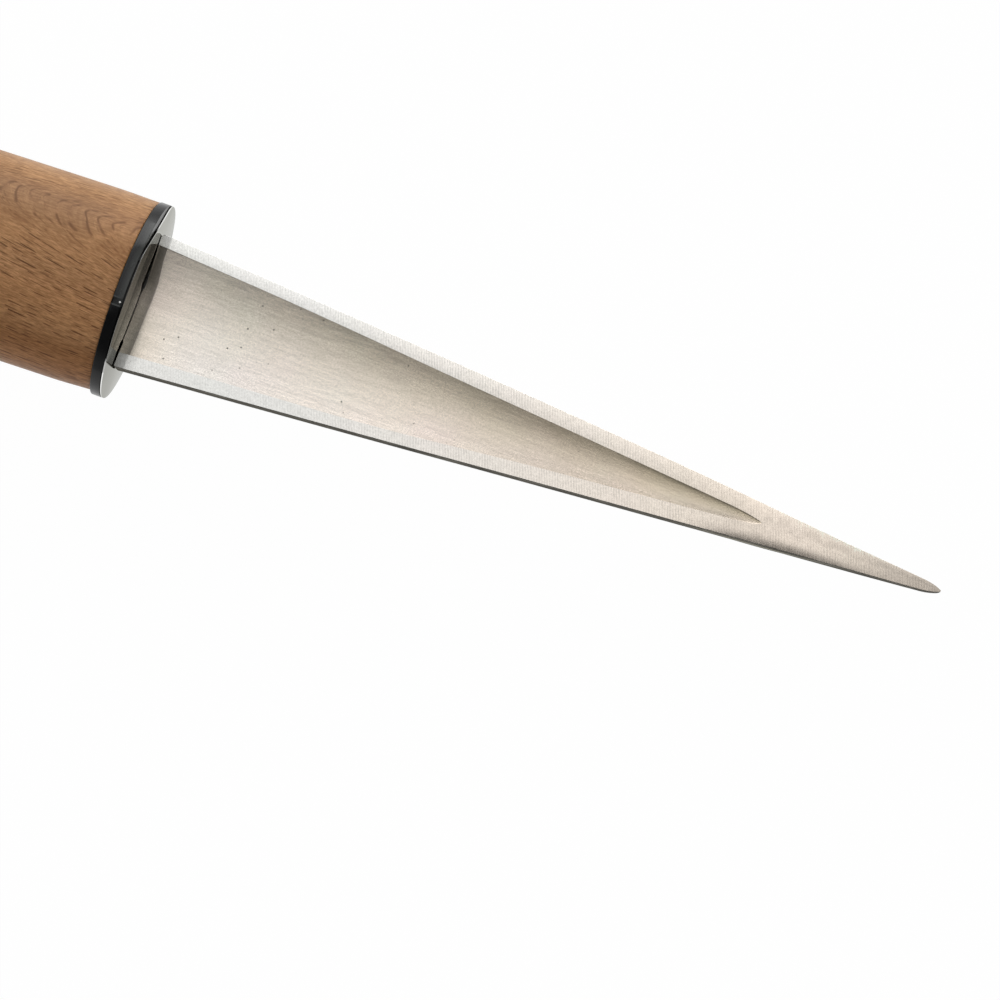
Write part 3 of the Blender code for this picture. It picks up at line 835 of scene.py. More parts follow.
@dataclass(frozen=True)
class PolishedSteel(Finish):
    """Mirror-polished plate with faint wiping marks."""

    metallic: float = 1.0
    edge_tint: Colour = (0.64, 0.64, 0.61)
    rough: Pair = (0.05, 0.14)
    pitch: float = 1800.0
    run: float = 90.0
    cloud_scale: float = 150.0
    speck_scale: float = 480.0
    speck_size: float = 0.18
    speck_share: float = 0.02
    speck_depth: float = 0.5
    colour: Colour = (0.56, 0.56, 0.54)
    # Duller patches of wear on the face.
    worn_colour: Colour = (0.47, 0.47, 0.455)
    speck_colour: Colour = (0.2, 0.2, 0.19)
    # Painted dark reflection and painted highlight on the plate's rim.
    rim_colour: Colour = (0.012, 0.012, 0.012)
    bright_rim: Colour = (0.95, 0.95, 0.93)
    oval: Pair = (18.2 * MM, 14.6 * MM)
    rim_share: Pair = (0.55, 0.60)
    rim_front: Pair = (-0.03 * MM, -0.07 * MM)
    rim_rear: Pair = (-0.20 * MM, -0.24 * MM)
    rim_middle: Pair = (0.50, 0.44)
    wiping: float = math.radians(65.0)
    # Painted reflection on the face beside the blade: where it lies and how light it is.
    beside: Pair = (12.6, 11.0)
    buffed_span: Pair = (7.5, 11.5)
    buffed_low: Range = (3.0, 7.0, 0.10, 0.30)
    buffed_up: float = 0.62
    buffed_rise: Pair = (-1.0, 4.0)
    buffed_rim: float = -0.34
    buffed_tilt: Range = (-12.5, 12.5, 0.88, 1.11)

    def dress(self, sketch: NodeSketch, shader: Node) -> tuple[Any, Any]:
        """Draws faint scratches, wiping marks and a few specks, a painted reflection on the face, and a
        painted highlight and dark reflection on the rim.
        """
        place = self.place(sketch, (self.wiping, 0.0, 0.0))
        parts = sketch.parts(place)
        lines = self.brushed(sketch, sketch.joined(parts[1], parts[2], parts[0]))[0]
        cloud = self.cloud(sketch, place)
        specks = sketch.product(self.specks(sketch, place, self.speck_share), self.speck_depth)
        tone = sketch.mix(cloud, self.colour, self.worn_colour)
        tone = sketch.dim(sketch.mix(specks, tone, self.speck_colour), self._buffed(sketch))
        rim, dark = self._rim(sketch)
        tone = sketch.mix(dark, sketch.mix(rim, tone, self.bright_rim), self.rim_colour)
        return tone, sketch.product(lines, cloud)

    def _buffed(self, sketch: NodeSketch) -> Any:
        """Painted reflection: how light the face is, lighter beside the blade than out at the rim above and
        below it, and lighter towards its upper side.
        """
        parts = self.parts(sketch)
        beside = sketch.span(sketch.value("ABSOLUTE", parts[1]), *self.beside)
        height = sketch.value("ABSOLUTE", parts[2])
        lower = sketch.span(height, *self.buffed_low)
        upper = sketch.value("SUBTRACT", self.buffed_up, lower)
        inner = sketch.ramp(sketch.span(parts[1], *self.buffed_rise), upper, lower)
        outer = sketch.value("SUBTRACT", self.buffed_rim, inner)
        gain = sketch.ramp(sketch.span(height, *self.buffed_span), outer, inner)
        return sketch.product(sketch.ramp(beside, gain, 1.0), sketch.span(parts[1], *self.buffed_tilt))

    def _rim(self, sketch: NodeSketch) -> tuple[Any, Any]:
        """Masks the plate's rim, which gets a painted highlight, and the rim's back and the middle of its
        upper and lower side, which get a painted dark reflection.
        """
        parts = sketch.parts(self.place(sketch))
        wide, deep = (
            sketch.square(sketch.value("DIVIDE", part, half)) for part, half in zip(parts[1:], self.oval)
        )
        around = sketch.span(sketch.value("ADD", wide, deep), *self.rim_share)
        rim = sketch.product(around, sketch.span(parts[0], *self.rim_front))
        rear = sketch.span(parts[0], *self.rim_rear)
        dark = sketch.value("MAXIMUM", rear, sketch.span(wide, *self.rim_middle))
        return rim, sketch.product(rim, dark)


@dataclass(frozen=True)
class BlackPlastic(Finish):
    """Moulded black plastic with a satin skin."""

    specular: float = 0.32
    rough: Pair = (0.20, 0.30)
    relief: Pair = (0.05, 0.02 * MM)
    cloud_scale: float = 320.0
    skin_scale: float = 5200.0
    dust_share: float = 0.03
    dust_depth: float = 0.35
    colour: Colour = (0.001, 0.001, 0.0012)
    cloud_colour: Colour = (0.003, 0.003, 0.0032)
    dust_colour: Colour = (0.16, 0.16, 0.15)
    # Painted sheen on the upper rim's front.
    rub_colour: Colour = (0.040, 0.042, 0.040)
    rib_colour: Colour = (0.045, 0.047, 0.045)
    # Painted glint: a small bright dot at the moulding gate.
    nib_colour: Colour = (0.85, 0.85, 0.82)
    upper_side: float = 10.0
    # Where the painted sheen lies.
    rubbed: tuple[Pair, Pair] = ((-1.7, -0.7), (-3.0, -1.4))
    ribs: Pair = (-1.7, -3.1)
    rib_soft: Pair = (0.20, 0.08)
    # Where the painted glint lies.
    nib: Pair = (-0.75, -2.4)
    nib_soft: Pair = (0.045, 0.012)

    def dress(self, sketch: NodeSketch, shader: Node) -> tuple[Any, Any]:
        """Draws a fine moulded skin, light blotches and dust, with a painted sheen and a painted glint on the
        upper rim.
        """
        place = self.place(sketch)
        cloud = self.cloud(sketch, place)
        dust = sketch.product(self.specks(sketch, place, self.dust_share), self.dust_depth)
        tone = sketch.mix(dust, sketch.mix(cloud, self.colour, self.cloud_colour), self.dust_colour)
        for mask, colour in zip(self._gate(sketch), (self.rub_colour, self.rib_colour, self.nib_colour)):
            tone = sketch.mix(mask, tone, colour)
        self.bump(sketch, shader, sketch.noise(place, self.skin_scale, 2.0))
        return tone, cloud

    def _gate(self, sketch: NodeSketch) -> tuple[Any, Any, Any]:
        """Masks the painted sheen on the upper rim's front, and the ribs and the painted glint of its moulding
        gate.
        """
        parts = self.parts(sketch)
        above = sketch.value("GREATER_THAN", parts[2], self.upper_side)
        far = [sketch.value("ABSOLUTE", sketch.value("SUBTRACT", parts[1], rib)) for rib in self.ribs]
        rib = sketch.span(sketch.value("MINIMUM", *far), *self.rib_soft)
        # Painted glint near the gate.
        ahead, aside = (sketch.value("SUBTRACT", part, spot) for part, spot in zip(parts, self.nib))
        reach = sketch.ramp(ahead, ahead, sketch.product(aside, aside))
        nib = sketch.span(reach, *self.nib_soft)
        # Painted sheen on the rim's front, above the gate.
        front = sketch.product(*(sketch.span(part, *ends) for part, ends in zip(parts, self.rubbed)))
        return tuple(sketch.product(mask, above) for mask in (front, rib, nib))


@dataclass(frozen=True)
class Beech(Finish):
    """Oiled beech with a satin surface, whose scale is per millimetre."""

    specular: float = 0.22
    rough: Pair = (0.42, 0.6)
    relief: Pair = (0.18, 0.05 * MM)
    cloud_scale: float = 0.045
    cloud_tint: Colour = (0.86, 0.83, 0.80)
    cut_place: float = -118.3
    cut_soft: Pair = (2.0, 0.6)
    pith: Pair = (26.0, -18.0)

    def dress(self, sketch: NodeSketch, shader: Node) -> tuple[Any, Any]:
        """Draws the grain, a broad change of tone, open pores and the rings of the cut end."""
        place = self.place(sketch, scale=1.0 / MM)
        colour, flecks = sketch.group(self.kit.grain, {"Vector": place})
        tone = sketch.mix(self.cloud(sketch, place), colour, sketch.tint(colour, self.cloud_tint))
        cut = sketch.span(sketch.parts(place)[0], *(self.cut_place + soft for soft in self.cut_soft))
        rings = {"Vector": place, "Pith Y": self.pith[0], "Pith Z": self.pith[1]}
        self.bump(sketch, shader, sketch.product(flecks, sketch.span(cut, 0.0, 1.0, -1.0, 0.0)))
        return sketch.mix(cut, tone, sketch.group(self.kit.end_grain, rings)[0]), flecks


@dataclass(frozen=True)
class ZincSteel(Finish):
    """Zinc-plated steel of the fastening in the butt."""

    metallic: float = 1.0
    rough: Pair = (0.30, 0.45)
    pitch: float = 1500.0
    run: float = 200.0
    cloud_scale: float = 260.0
    bright: Colour = (0.60, 0.60, 0.58)
    dull: Colour = (0.44, 0.44, 0.42)

    def dress(self, sketch: NodeSketch, shader: Node) -> tuple[Any, Any]:
        """Draws turning marks and dull patches."""
        place = self.place(sketch)
        tone = sketch.mix(self.cloud(sketch, place), self.bright, self.dull)
        return tone, self.brushed(sketch, place)[0]


@dataclass(frozen=True)
class Oval:
    """One oval section across the knife's axis."""

    x: float
    up: float
    down: float
    depth: float

    def matrix(self) -> Matrix:
        """Carries a unit circle in the XY plane to this section."""
        width = (self.up + self.down) / 2.0
        shift = (self.up - self.down) / 2.0
        return Matrix((
            (0.0, 0.0, 1.0, self.x),
            (width, 0.0, 0.0, shift),
            (0.0, self.depth, 0.0, 0.0),
            (0.0, 0.0, 0.0, 1.0),
        ))

    def inset(self, x: float, amount: float) -> Oval:
        """A section at another place that is smaller all round."""
        return Oval(x, self.up - amount, self.down - amount, self.depth - amount)


def picked(geometry: Iterable[Any], kind: type) -> list[Any]:
    """The items of one kind in what a bmesh operator returned."""
    return [item for item in geometry if isinstance(item, kind)]


def round_edges(bm: Mesh, edges: Sequence[Any], offset: float, segments: int) -> None:
    """Rounds edges of a mesh."""
    bmesh.ops.bevel(
        bm, geom=edges, offset=offset, segments=segments, profile=0.5, affect="EDGES", material=-1,
        offset_type="OFFSET",
    )


def close_holes(bm: Mesh) -> None:
    """Fills the open ends of a mesh."""
    bmesh.ops.holes_fill(bm, edges=[edge for edge in bm.edges if edge.is_boundary])


def ease(value: float, start: float, end: float) -> float:
    """Rises smoothly from 0 to 1 between two places."""
    share = min(max((value - start) / (end - start), 0.0), 1.0)
    return share * share * (3.0 - 2.0 * share)


def disc(x: float, radius: float) -> Oval:
    """A round section."""
    return Oval(x, radius, radius, radius)


def loft(ovals: Sequence[Oval], sides: int) -> Mesh:
    """Extrudes a circle from section to section and closes both ends.

    Args:
        ovals: the sections in order.
        sides: how many sides each has.

    Returns:
        A closed bmesh around the knife's axis.
    """
    bm = bmesh.new()
    loop = bmesh.ops.create_circle(bm, segments=sides, radius=1.0)["verts"]
    place = ovals[0].matrix()
    bmesh.ops.transform(bm, matrix=place, verts=loop)
    edges = list(bm.edges)
    for oval in ovals[1:]:
        grown = bmesh.ops.extrude_edge_only(bm, edges=edges)["geom"]
        loop = picked(grown, bmesh.types.BMVert)
        edges = picked(grown, bmesh.types.BMEdge)
        bmesh.ops.transform(bm, matrix=oval.matrix() @ place.inverted(), verts=loop)
        place = oval.matrix()
    close_holes(bm)
    return bm


@dataclass
class Workshop:
    """Turns meshes into pieces of the knife, at the knife's axis."""

    origin: Vector
    made: list[bpy.types.Object] = field(default_factory=list)

    def piece(
        self,
        name: str,
        bm: Mesh,
        materials: Iterable[Material],
        replaces: str,
        sharp: float = 30.0,
    ) -> bpy.types.Object:
        """Makes one piece that rides on the knife and stands for a CAD node.

        Args:
            name: the piece's name.
            bm: its mesh around the knife's axis, which is freed.
            materials: its materials in order.
            replaces: the CAD node that it stands for.
            sharp: the angle in degrees past which edges stay sharp.

        Returns:
            The piece's object.
        """
        bmesh.ops.translate(bm, verts=bm.verts, vec=self.origin)
        bmesh.ops.recalc_face_normals(bm, faces=bm.faces)
        for face in bm.faces:
            face.smooth = True
        for edge in bm.edges:
            zones = {face.material_index for face in edge.link_faces}
            edge.smooth = len(zones) == 1 and edge.calc_face_angle(0.0) < math.radians(sharp)
        mesh = bpy.data.meshes.new(name)
        bm.to_mesh(mesh)
        bm.free()
        for material in materials:
            mesh.materials.append(material)
        thing = bpy.data.objects.new(name, mesh)
        bpy.context.scene.collection.objects.link(thing)
        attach(thing, BODY)
        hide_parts(replaces)
        self.made.append(thing)
        LOG.info("piece %s: %d faces, stands for %s", name, len(mesh.polygons), replaces)
        return thing


@dataclass
class Blade:
    """The hollow-ground blade with its tang and stud."""

    heel: float = 0.1 * MM
    length: float = 150.0 * MM
    thickness: float = 5.0 * MM
    heel_width: float = 25.2 * MM
    heel_corner: float = 0.7 * MM
    lower_corner: float = 0.3 * MM
    upper_trim: Table = ((0.0, 0.0), (0.70, 0.0), (0.84, 0.29), (0.94, 0.29), (1.0, 0.0))
    lower_trim: Table = ((0.0, 0.0), (0.3, 0.0), (0.5, 0.11), (0.78, 0.11), (0.9, 0.0), (1.0, 0.06))
    tip_width: float = 1.7 * MM
    tip_round: float = 3.5 * MM
    bulge: float = 0.3 * MM
    bow: float = 0.28 * MM
    point: float = 32.6 * MM
    point_flat: float = 1.0 * MM
    nose_back: float = 0.8 * MM
    tip_thickness: float = 1.8 * MM
    facet: float = 2.2 * MM
    facet_slope: float = 0.09
    upper_rim: Table = ((0.0, 2.1), (0.24, 2.1), (0.51, 2.6), (0.8, 2.75), (1.0, 2.8))
    lower_rim: Table = ((0.0, 2.85), (0.38, 2.1), (0.51, 2.4), (0.62, 2.85), (1.0, 3.25))
    hollow_depth: float = 1.1 * MM
    hollow_nose: float = 6.0 * MM
    wall_hold: float = 1.0 * MM
    upper_lip: float = 0.10 * MM
    lip_width: float = 0.13 * MM
    edge_break: float = 0.08 * MM
    edge_hold: float = 0.03
    lower_break: float = 0.20 * MM
    worn_drop: float = 0.14 * MM
    worn_start: float = 0.3
    worn_span: Pair = (97.0 * MM, 144.0 * MM)
    ridge: float = 0.22 * MM
    ridge_span: Pair = (102.0 * MM, 132.0 * MM)
    heel_wedge: tuple[float, float, float] = (3.0 * MM, 12.6 * MM, 0.30 * MM)
    heel_step: Pair = (-7.8 * MM, 0.2 * MM)
    step_fall: float = 0.6
    wedge_run: float = 1.5 * MM
    tang_front: float = -0.02 * MM
    tang_width: float = 10.0 * MM
    neck_width: float = 2.0 * MM
    seal_width: float = 22.0 * MM
    neck_thickness: float = 0.8 * MM
    runout: float = 0.5 * MM
    stud_diameter: float = 5.0 * MM
    stud_run: float = 24.5 * MM
    stud_edge: float = 0.6 * MM
    stud_sides: int = 32
    stud_segments: int = 2
    end_facing: float = 0.9
    corner_columns: int = 5
    hollow_rows: int = 44
    break_rows: int = 5
    rim_rows: int = 8
    nose_columns: int = 12
    hollow_columns: int = 52
    point_columns: int = 26
    tip_columns: int = 12
    brush_turn: float = math.radians(-20.1)
    sharp: float = 20.0

    @property
    def tip(self) -> float:
        """Where the point ends."""
        return self.heel + self.length

    @property
    def hollow_end(self) -> float:
        """Where the hollow runs out."""
        return self.tip - self.point - self.nose_back

    def line(self, x: float) -> float:
        """Half the blade's width at a place along its two long edges."""
        share = (x - self.heel) / self.length
        straight = (self.heel_width + share * (self.tip_width - self.heel_width)) / 2.0
        return straight + 4.0 * self.bulge * share * (1.0 - share)

    def half_width(self, x: float, corner: float, trim: Table) -> float:
        """Half the blade's width on one side, with its broken heel corner, wear and round point."""
        width = self.line(x) - self._read(trim, (x - self.heel) / self.length)
        before = self.heel + corner - x
        if before > 0.0:
            width -= corner - math.sqrt(max(corner**2 - before**2, 0.0))
        past = (x - (self.tip - self.tip_round)) / self.tip_round
        if past > 0.0:
            width *= math.sqrt(max(1.0 - past**2, 0.0))
        return width

    def face_height(self, x: float) -> float:
        """Height of the flat face above the axis: it thins towards the point and ends in a small facet."""
        start = self.hollow_end + self.point_flat
        share = max(x - start, 0.0) / (self.tip - start)
        fall = (self.thickness - self.tip_thickness) / 2.0 * share**2
        return self.thickness / 2.0 - fall - self.facet_slope * max(x - (self.tip - self.facet), 0.0)

    def columns(self) -> list[float]:
        """Places of the sections along the blade."""
        steps = self.corner_columns
        turns = [QUARTER * step / steps for step in range(steps + 1)]
        corner = [self.heel + self.heel_corner * (1.0 - math.cos(turn)) for turn in turns]
        nose = self.hollow_end - self.hollow_nose
        round_start = self.tip - self.tip_round
        return [
            *corner,
            *self._even(corner[-1], nose, self.hollow_columns),
            *self._slowing(nose, self.hollow_nose, self.nose_columns),
            *self._even(self.hollow_end, round_start, self.point_columns),
            *self._slowing(round_start, self.tip_round, self.tip_columns),
        ]

    @staticmethod
    def _even(start: float, end: float, steps: int) -> list[float]:
        """Even steps after a place, up to another."""
        return [start + (end - start) * step / steps for step in range(1, steps + 1)]

    @staticmethod
    def _slowing(start: float, run: float, steps: int) -> list[float]:
        """Steps after a place that get shorter, as round a quarter of a circle."""
        return [start + run * math.sin(QUARTER * step / steps) for step in range(1, steps + 1)]

    def heel_gap(self, y: float) -> float:
        """How far the heel's end is worn back from the bolster plate."""
        low, high, depth = self.heel_wedge
        if low < y < high:
            return depth * (high - y) / (high - low)
        if low - self.wedge_run < y <= low:
            return depth * (y - low + self.wedge_run) / self.wedge_run
        edge, step = self.heel_step
        if y >= edge:
            return 0.0
        return step * (1.0 - self.step_fall * (edge - y) / (self.heel_width / 2.0 + edge))

    @staticmethod
    def _read(table: Table, share: float) -> float:
        """Reads a table of widths in millimetres, with its corners smoothed."""
        total = 0.0
        for shift in (-TABLE_BLUR, 0.0, TABLE_BLUR):
            at = min(max(share + shift, 0.0), 1.0)
            for (left, first), (right, second) in zip(table, table[1:]):
                if left <= at <= right:
                    total += first + (second - first) * (at - left) / (right - left)
                    break
        return total / 3.0 * MM

    @staticmethod
    def _hump(x: float, ends: Pair) -> float:
        """Rises from 0 at two places to 1 in their middle."""
        middle = sum(ends) / 2.0
        return ease(x, ends[0], middle) * ease(x, ends[1], middle)

    def hollow_line(self, x: float) -> Pair:
        """Centre and half width of the hollow at a place."""
        share = (x - self.heel) / (self.hollow_end - self.heel)
        upper, lower = self._read(self.upper_rim, share), self._read(self.lower_rim, share)
        past = max(x - (self.hollow_end - self.hollow_nose), 0.0) / self.hollow_nose
        reach = (self.line(x) - (upper + lower) / 2.0) * math.sqrt(max(1.0 - past**2, 0.0))
        return (lower - upper) / 2.0, max(reach, 0.0)

    def section(self, x: float) -> list[Pair]:
        """The upper half of the blade's section, from its upper side to its lower side."""
        height = self.face_height(x)
        fall = self.worn_drop * self._hump(x, self.worn_span)
        upper_edge, lower_edge = self._edges(x, height, fall)
        hollow = self._hollow(x, height)
        rim_top = [(upper_edge[-1][0] - self.edge_hold * (upper_edge[-1][0] - hollow[0][0]), height)]
        rim_low = []
        for step in range(1, self.rim_rows + 1):
            share = 1.0 - self.edge_hold if step == self.rim_rows else step / self.rim_rows
            bent = max(share - self.worn_start, 0.0) / (1.0 - self.worn_start)
            y = hollow[-1][0] + share * (lower_edge[0][0] - hollow[-1][0])
            rim_low.append((y, height - fall * bent**2))
        return upper_edge + rim_top + hollow + rim_low + lower_edge

    def _edges(self, x: float, height: float, fall: float) -> tuple[list[Pair], list[Pair]]:
        """The section's upper and lower side with their broken edges.

        Args:
            x: the section's place.
            height: how high the flat face is.
            fall: how far the lower rim is worn down.

        Returns:
            The rows of each, in the section's order.
        """
        width = self.half_width(x, self.heel_corner, self.upper_trim)
        low_width = self.half_width(x, self.lower_corner, self.lower_trim)
        broken = min(self.edge_break, 0.5 * width, 0.5 * height)
        low_broken = min(self.lower_break, 0.5 * width, 0.5 * height)
        swell = self.ridge * self._hump(x, self.ridge_span)
        upper = [(width, 0.0)]
        lower = [(-low_width - swell, 0.0)]
        for step in range(self.break_rows + 1):
            turn = QUARTER * step / self.break_rows
            run, rise = 1.0 - math.cos(turn), 1.0 - math.sin(turn)
            upper.append((width - broken * run, height - broken * rise))
            lower.append((low_broken * run - low_width, height - fall - low_broken * rise))
        return upper, lower[::-1]

    def _hollow(self, x: float, height: float) -> list[Pair]:
        """The rows of the hollow: a lip, a steep wall and a bottom that runs out level at its lower edge."""
        centre, reach = self.hollow_line(x)
        lip = min(self.lip_width, reach / 4.0)
        hold = min(1.0, reach / self.wall_hold)
        wall = 2.0 * self.hollow_depth / self.hollow_line(self.heel)[1]
        level = (reach**4 + self.wall_hold**4) ** 0.25
        across = 2.0 * reach - lip
        left = wall * across * (1.0 - across / (2.0 * level))
        rows = [(centre + reach, height)]
        for step in range(self.hollow_rows + 1):
            share = step / self.hollow_rows
            run = across * share
            lip_drop = hold * self.upper_lip * (1.0 - share)
            drop = lip_drop + wall * run * (1.0 - run / (2.0 * level)) - left * share**4
            rows.append((centre + reach - lip - run, height - drop))
        return rows

    def zones(self) -> list[Zone]:
        """The zone of each strip between two rows of the section."""
        upper = [Zone.EDGE] + [Zone.RIM] * (self.break_rows + 2)
        hollow = [Zone.HOLLOW] * (self.hollow_rows + 1)
        lower = [Zone.RIM] * (self.rim_rows + 1) + [Zone.EDGE] * (self.break_rows + 1)
        return upper + hollow + lower

    def skin(self) -> Mesh:
        """Shapes a grid into the blade's upper half, drops the heel's end from it and mirrors it."""
        places = self.columns()
        sections = [self.section(x) for x in places]
        zones = self.zones()
        rim_end = self.break_rows + 3
        bm = bmesh.new()
        outward = bm.verts.layers.float.new("outward")
        across = bm.verts.layers.float.new("across")
        bmesh.ops.create_grid(bm, x_segments=len(places) - 1, y_segments=len(zones), size=0.5)
        for face in bm.faces:
            row = int((face.calc_center_median().y + 0.5) * len(zones))
            face.material_index = zones[row].value
        rear = [edge for edge in bm.edges if all(vert.co.x < MERGE - 0.5 for vert in edge.verts)]
        for vert in bm.verts:
            column = round((vert.co.x + 0.5) * (len(places) - 1))
            row = round((vert.co.y + 0.5) * len(zones))
            y, z = sections[column][row]
            gap = self.heel_gap(y) * max(1.0 - (places[column] - self.heel) / self.heel_corner, 0.0)
            share = (places[column] - self.heel) / self.length
            vert.co = Vector((places[column] + gap, y + 4.0 * self.bow * share * (1.0 - share), z))
            vert[outward] = 1.0 if row < rim_end else 0.0 if row < len(zones) // 2 else -1.0
            vert[across] = min(max((row - rim_end) / self.hollow_rows, 0.0), 1.0)
        grown = bmesh.ops.extrude_edge_only(bm, edges=rear)["geom"]
        bmesh.ops.scale(bm, verts=picked(grown, bmesh.types.BMVert), vec=(1.0, 1.0, 0.0))
        for face in picked(grown, bmesh.types.BMFace):
            face.material_index = Zone.EDGE.value
        bmesh.ops.remove_doubles(bm, verts=bm.verts, dist=MERGE)
        everything = [*bm.verts, *bm.edges, *bm.faces]
        bmesh.ops.mirror(bm, geom=everything, matrix=Matrix.Identity(4), merge_dist=MERGE, axis="Z")
        bmesh.ops.remove_doubles(bm, verts=bm.verts, dist=MERGE)
        close_holes(bm)
        return bm

    def add_tang(self, bm: Mesh, end: float) -> None:
        """Adds the neck and the seal behind the hollow, the tang and the stud.

        Args:
            bm: the blade's mesh.
            end: where the stud ends.
        """
        tang_end = end + self.stud_run
        front = self.heel + self.runout
        neck = (front, self.heel - 2.0 * self.runout, self.neck_width, self.neck_thickness, 0.0)
        seal = (front, self.heel / 4.0, self.seal_width, self.neck_thickness, -self.neck_thickness)
        body = (self.tang_front, tang_end, self.tang_width, self.thickness, 0.0)
        before = set(bm.faces)
        for front, rear, width, depth, lift in (neck, seal, body):
            cube = bmesh.ops.create_cube(bm, size=1.0)["verts"]
            bmesh.ops.scale(bm, verts=cube, vec=(front - rear, width, depth))
            bmesh.ops.translate(bm, verts=cube, vec=((front + rear) / 2.0, 0.0, lift))
        radius = self.stud_diameter / 2.0
        run = tang_end - end
        rod = bmesh.ops.create_cone(
            bm, cap_ends=True, segments=self.stud_sides, radius1=radius, radius2=radius, depth=run,
            matrix=Matrix.Translation((tang_end - run / 2.0, 0.0, 0.0)) @ Matrix.Rotation(QUARTER, 4, "Y"),
        )["verts"]
        rod_faces = [face for face in bm.faces if set(face.verts) <= set(rod)]
        last = min(rod_faces, key=lambda face: face.calc_center_median().x)
        round_edges(bm, list(last.edges), self.stud_edge, self.stud_segments)
        for face in set(bm.faces) - before:
            shoulder = abs(face.calc_center_median().x - self.tang_front) < MERGE
            face.material_index = (Zone.RIM if shoulder else Zone.EDGE).value

    def add_brush_map(self, bm: Mesh) -> None:
        """Lays a UV map whose U runs across the grinding lines of each zone."""
        layer = bm.loops.layers.uv.new("brush")
        across = Vector((math.cos(self.brush_turn), -math.sin(self.brush_turn)))
        bm.normal_update()
        for face in bm.faces:
            for loop in face.loops:
                x, y, z = loop.vert.co
                if abs(face.normal.x) > self.end_facing:
                    place = (y, z)
                elif face.material_index == Zone.HOLLOW.value:
                    place = (y, x)
                elif face.material_index == Zone.RIM.value:
                    flat = Vector((x, y))
                    place = (flat.dot(across), flat.dot(Vector((-across.y, across.x))))
                else:
                    place = (x, y + z)
                loop[layer].uv = (place[0] * UV_SCALE, place[1] * UV_SCALE)

    def build(self, shop: Workshop, finishes: Sequence[Finish], stud_end: float) -> bpy.types.Object:
        """Builds and dresses the blade."""
        bm = self.skin()
        self.add_tang(bm, stud_end)
        self.add_brush_map(bm)
        materials = [finish.material() for finish in finishes]
        return shop.piece("ground_blade", bm, materials, "blade", self.sharp)


@dataclass
class Bolster:
    """The polished plate and the black spacer behind it."""

    half_up: float = 17.95 * MM
    half_width: float = 18.2 * MM
    half_depth: float = 14.6 * MM
    plate_thickness: float = 0.35 * MM
    plate_edge: float = 0.09 * MM
    seat_gap: float = 0.03 * MM
    spacer_thickness: float = 1.82 * MM
    spacer_edge: float = 0.10 * MM
    slot_half: Pair = (5.06 * MM, 2.56 * MM)
    shoulder: Pair = (5.0 * MM, 16.5 * MM)
    shoulder_cut: float = 0.40
    rim_share: float = 0.60
    rim_segments: int = 4
    gate_inset: float = 0.14 * MM
    gate_depth: float = 0.14 * MM
    gate_place: float = -2.4 * MM
    gate_reach: float = 0.75 * MM
    gate_height: float = 0.9
    side_facing: float = 0.2
    sides: int = 144
    sharp: float = 15.0

    def slotted_oval(self, front: float, thickness: float, edge: float, cut: float = 0.0) -> Mesh:
        """Bridges an oval to a slot, gives the sheet its thickness and rounds its outer edges.

        Args:
            front: where its front face is.
            thickness: how thick it is.
            edge: how far the outer edges are rounded.
            cut: how much of its depth the upper end loses on its upper side.

        Returns:
            The plate's mesh.
        """
        bm = bmesh.new()
        outer = bmesh.ops.create_circle(bm, segments=self.sides, radius=1.0)["verts"]
        slot = bmesh.ops.create_circle(bm, segments=self.sides, radius=1.0)["verts"]
        for vert in slot:
            vert.co /= max(abs(vert.co.x), abs(vert.co.y))
        width, depth = self.slot_half
        outline = Oval(front, self.half_up, self.half_width, self.half_depth)
        bmesh.ops.transform(bm, matrix=outline.matrix(), verts=outer)
        for vert in outer:
            if vert.co.z > 0.0:
                vert.co.z *= 1.0 - cut * ease(vert.co.y, *self.shoulder)
        bmesh.ops.transform(bm, matrix=Oval(front, width, width, depth).matrix(), verts=slot)
        bmesh.ops.bridge_loops(bm, edges=list(bm.edges))
        grown = bmesh.ops.extrude_face_region(bm, geom=list(bm.faces))["geom"]
        bmesh.ops.translate(bm, verts=picked(grown, bmesh.types.BMVert), vec=(-thickness, 0.0, 0.0))
        bmesh.ops.recalc_face_normals(bm, faces=bm.faces)
        round_edges(bm, [item for item in bm.edges if self._on_rim(item)], edge, self.rim_segments)
        return bm

    def _on_rim(self, edge: bmesh.types.BMEdge) -> bool:
        """Tells the two outer edge loops from the rest."""
        first, second = (vert.co for vert in edge.verts)
        shares = [(at.y / self.half_width) ** 2 + (at.z / self.half_depth) ** 2 for at in (first, second)]
        return min(shares) > self.rim_share and abs(first.x - second.x) < MERGE

    def add_gate(self, bm: Mesh) -> None:
        """Sinks a small moulding gate into the spacer's rim, on its upper side."""
        gate = []
        for face in bm.faces:
            centre = face.calc_center_median()
            near = abs(centre.y - self.gate_place) < self.gate_reach
            above = centre.z > self.gate_height * self.half_depth
            if near and above and abs(face.normal.x) < self.side_facing:
                gate.append(face)
        bmesh.ops.inset_region(bm, faces=gate, thickness=self.gate_inset, depth=0.0, use_even_offset=True)
        bmesh.ops.inset_region(bm, faces=gate, thickness=self.gate_inset / 2.0, depth=-self.gate_depth)

    def build(self, shop: Workshop, plate_finish: Finish, spacer_finish: Finish) -> None:
        """Builds and dresses the plate and the spacer."""
        plate = self.slotted_oval(0.0, self.plate_thickness, self.plate_edge, self.shoulder_cut)
        steel = [plate_finish.material()]
        shop.piece("polished_plate", plate, steel, "bolster_plate", self.sharp)
        front = -self.plate_thickness - self.seat_gap
        spacer = self.slotted_oval(front, self.spacer_thickness, self.spacer_edge)
        self.add_gate(spacer)
        plastic = [spacer_finish.material()]
        shop.piece("black_spacer", spacer, plastic, "spacer", self.sharp)


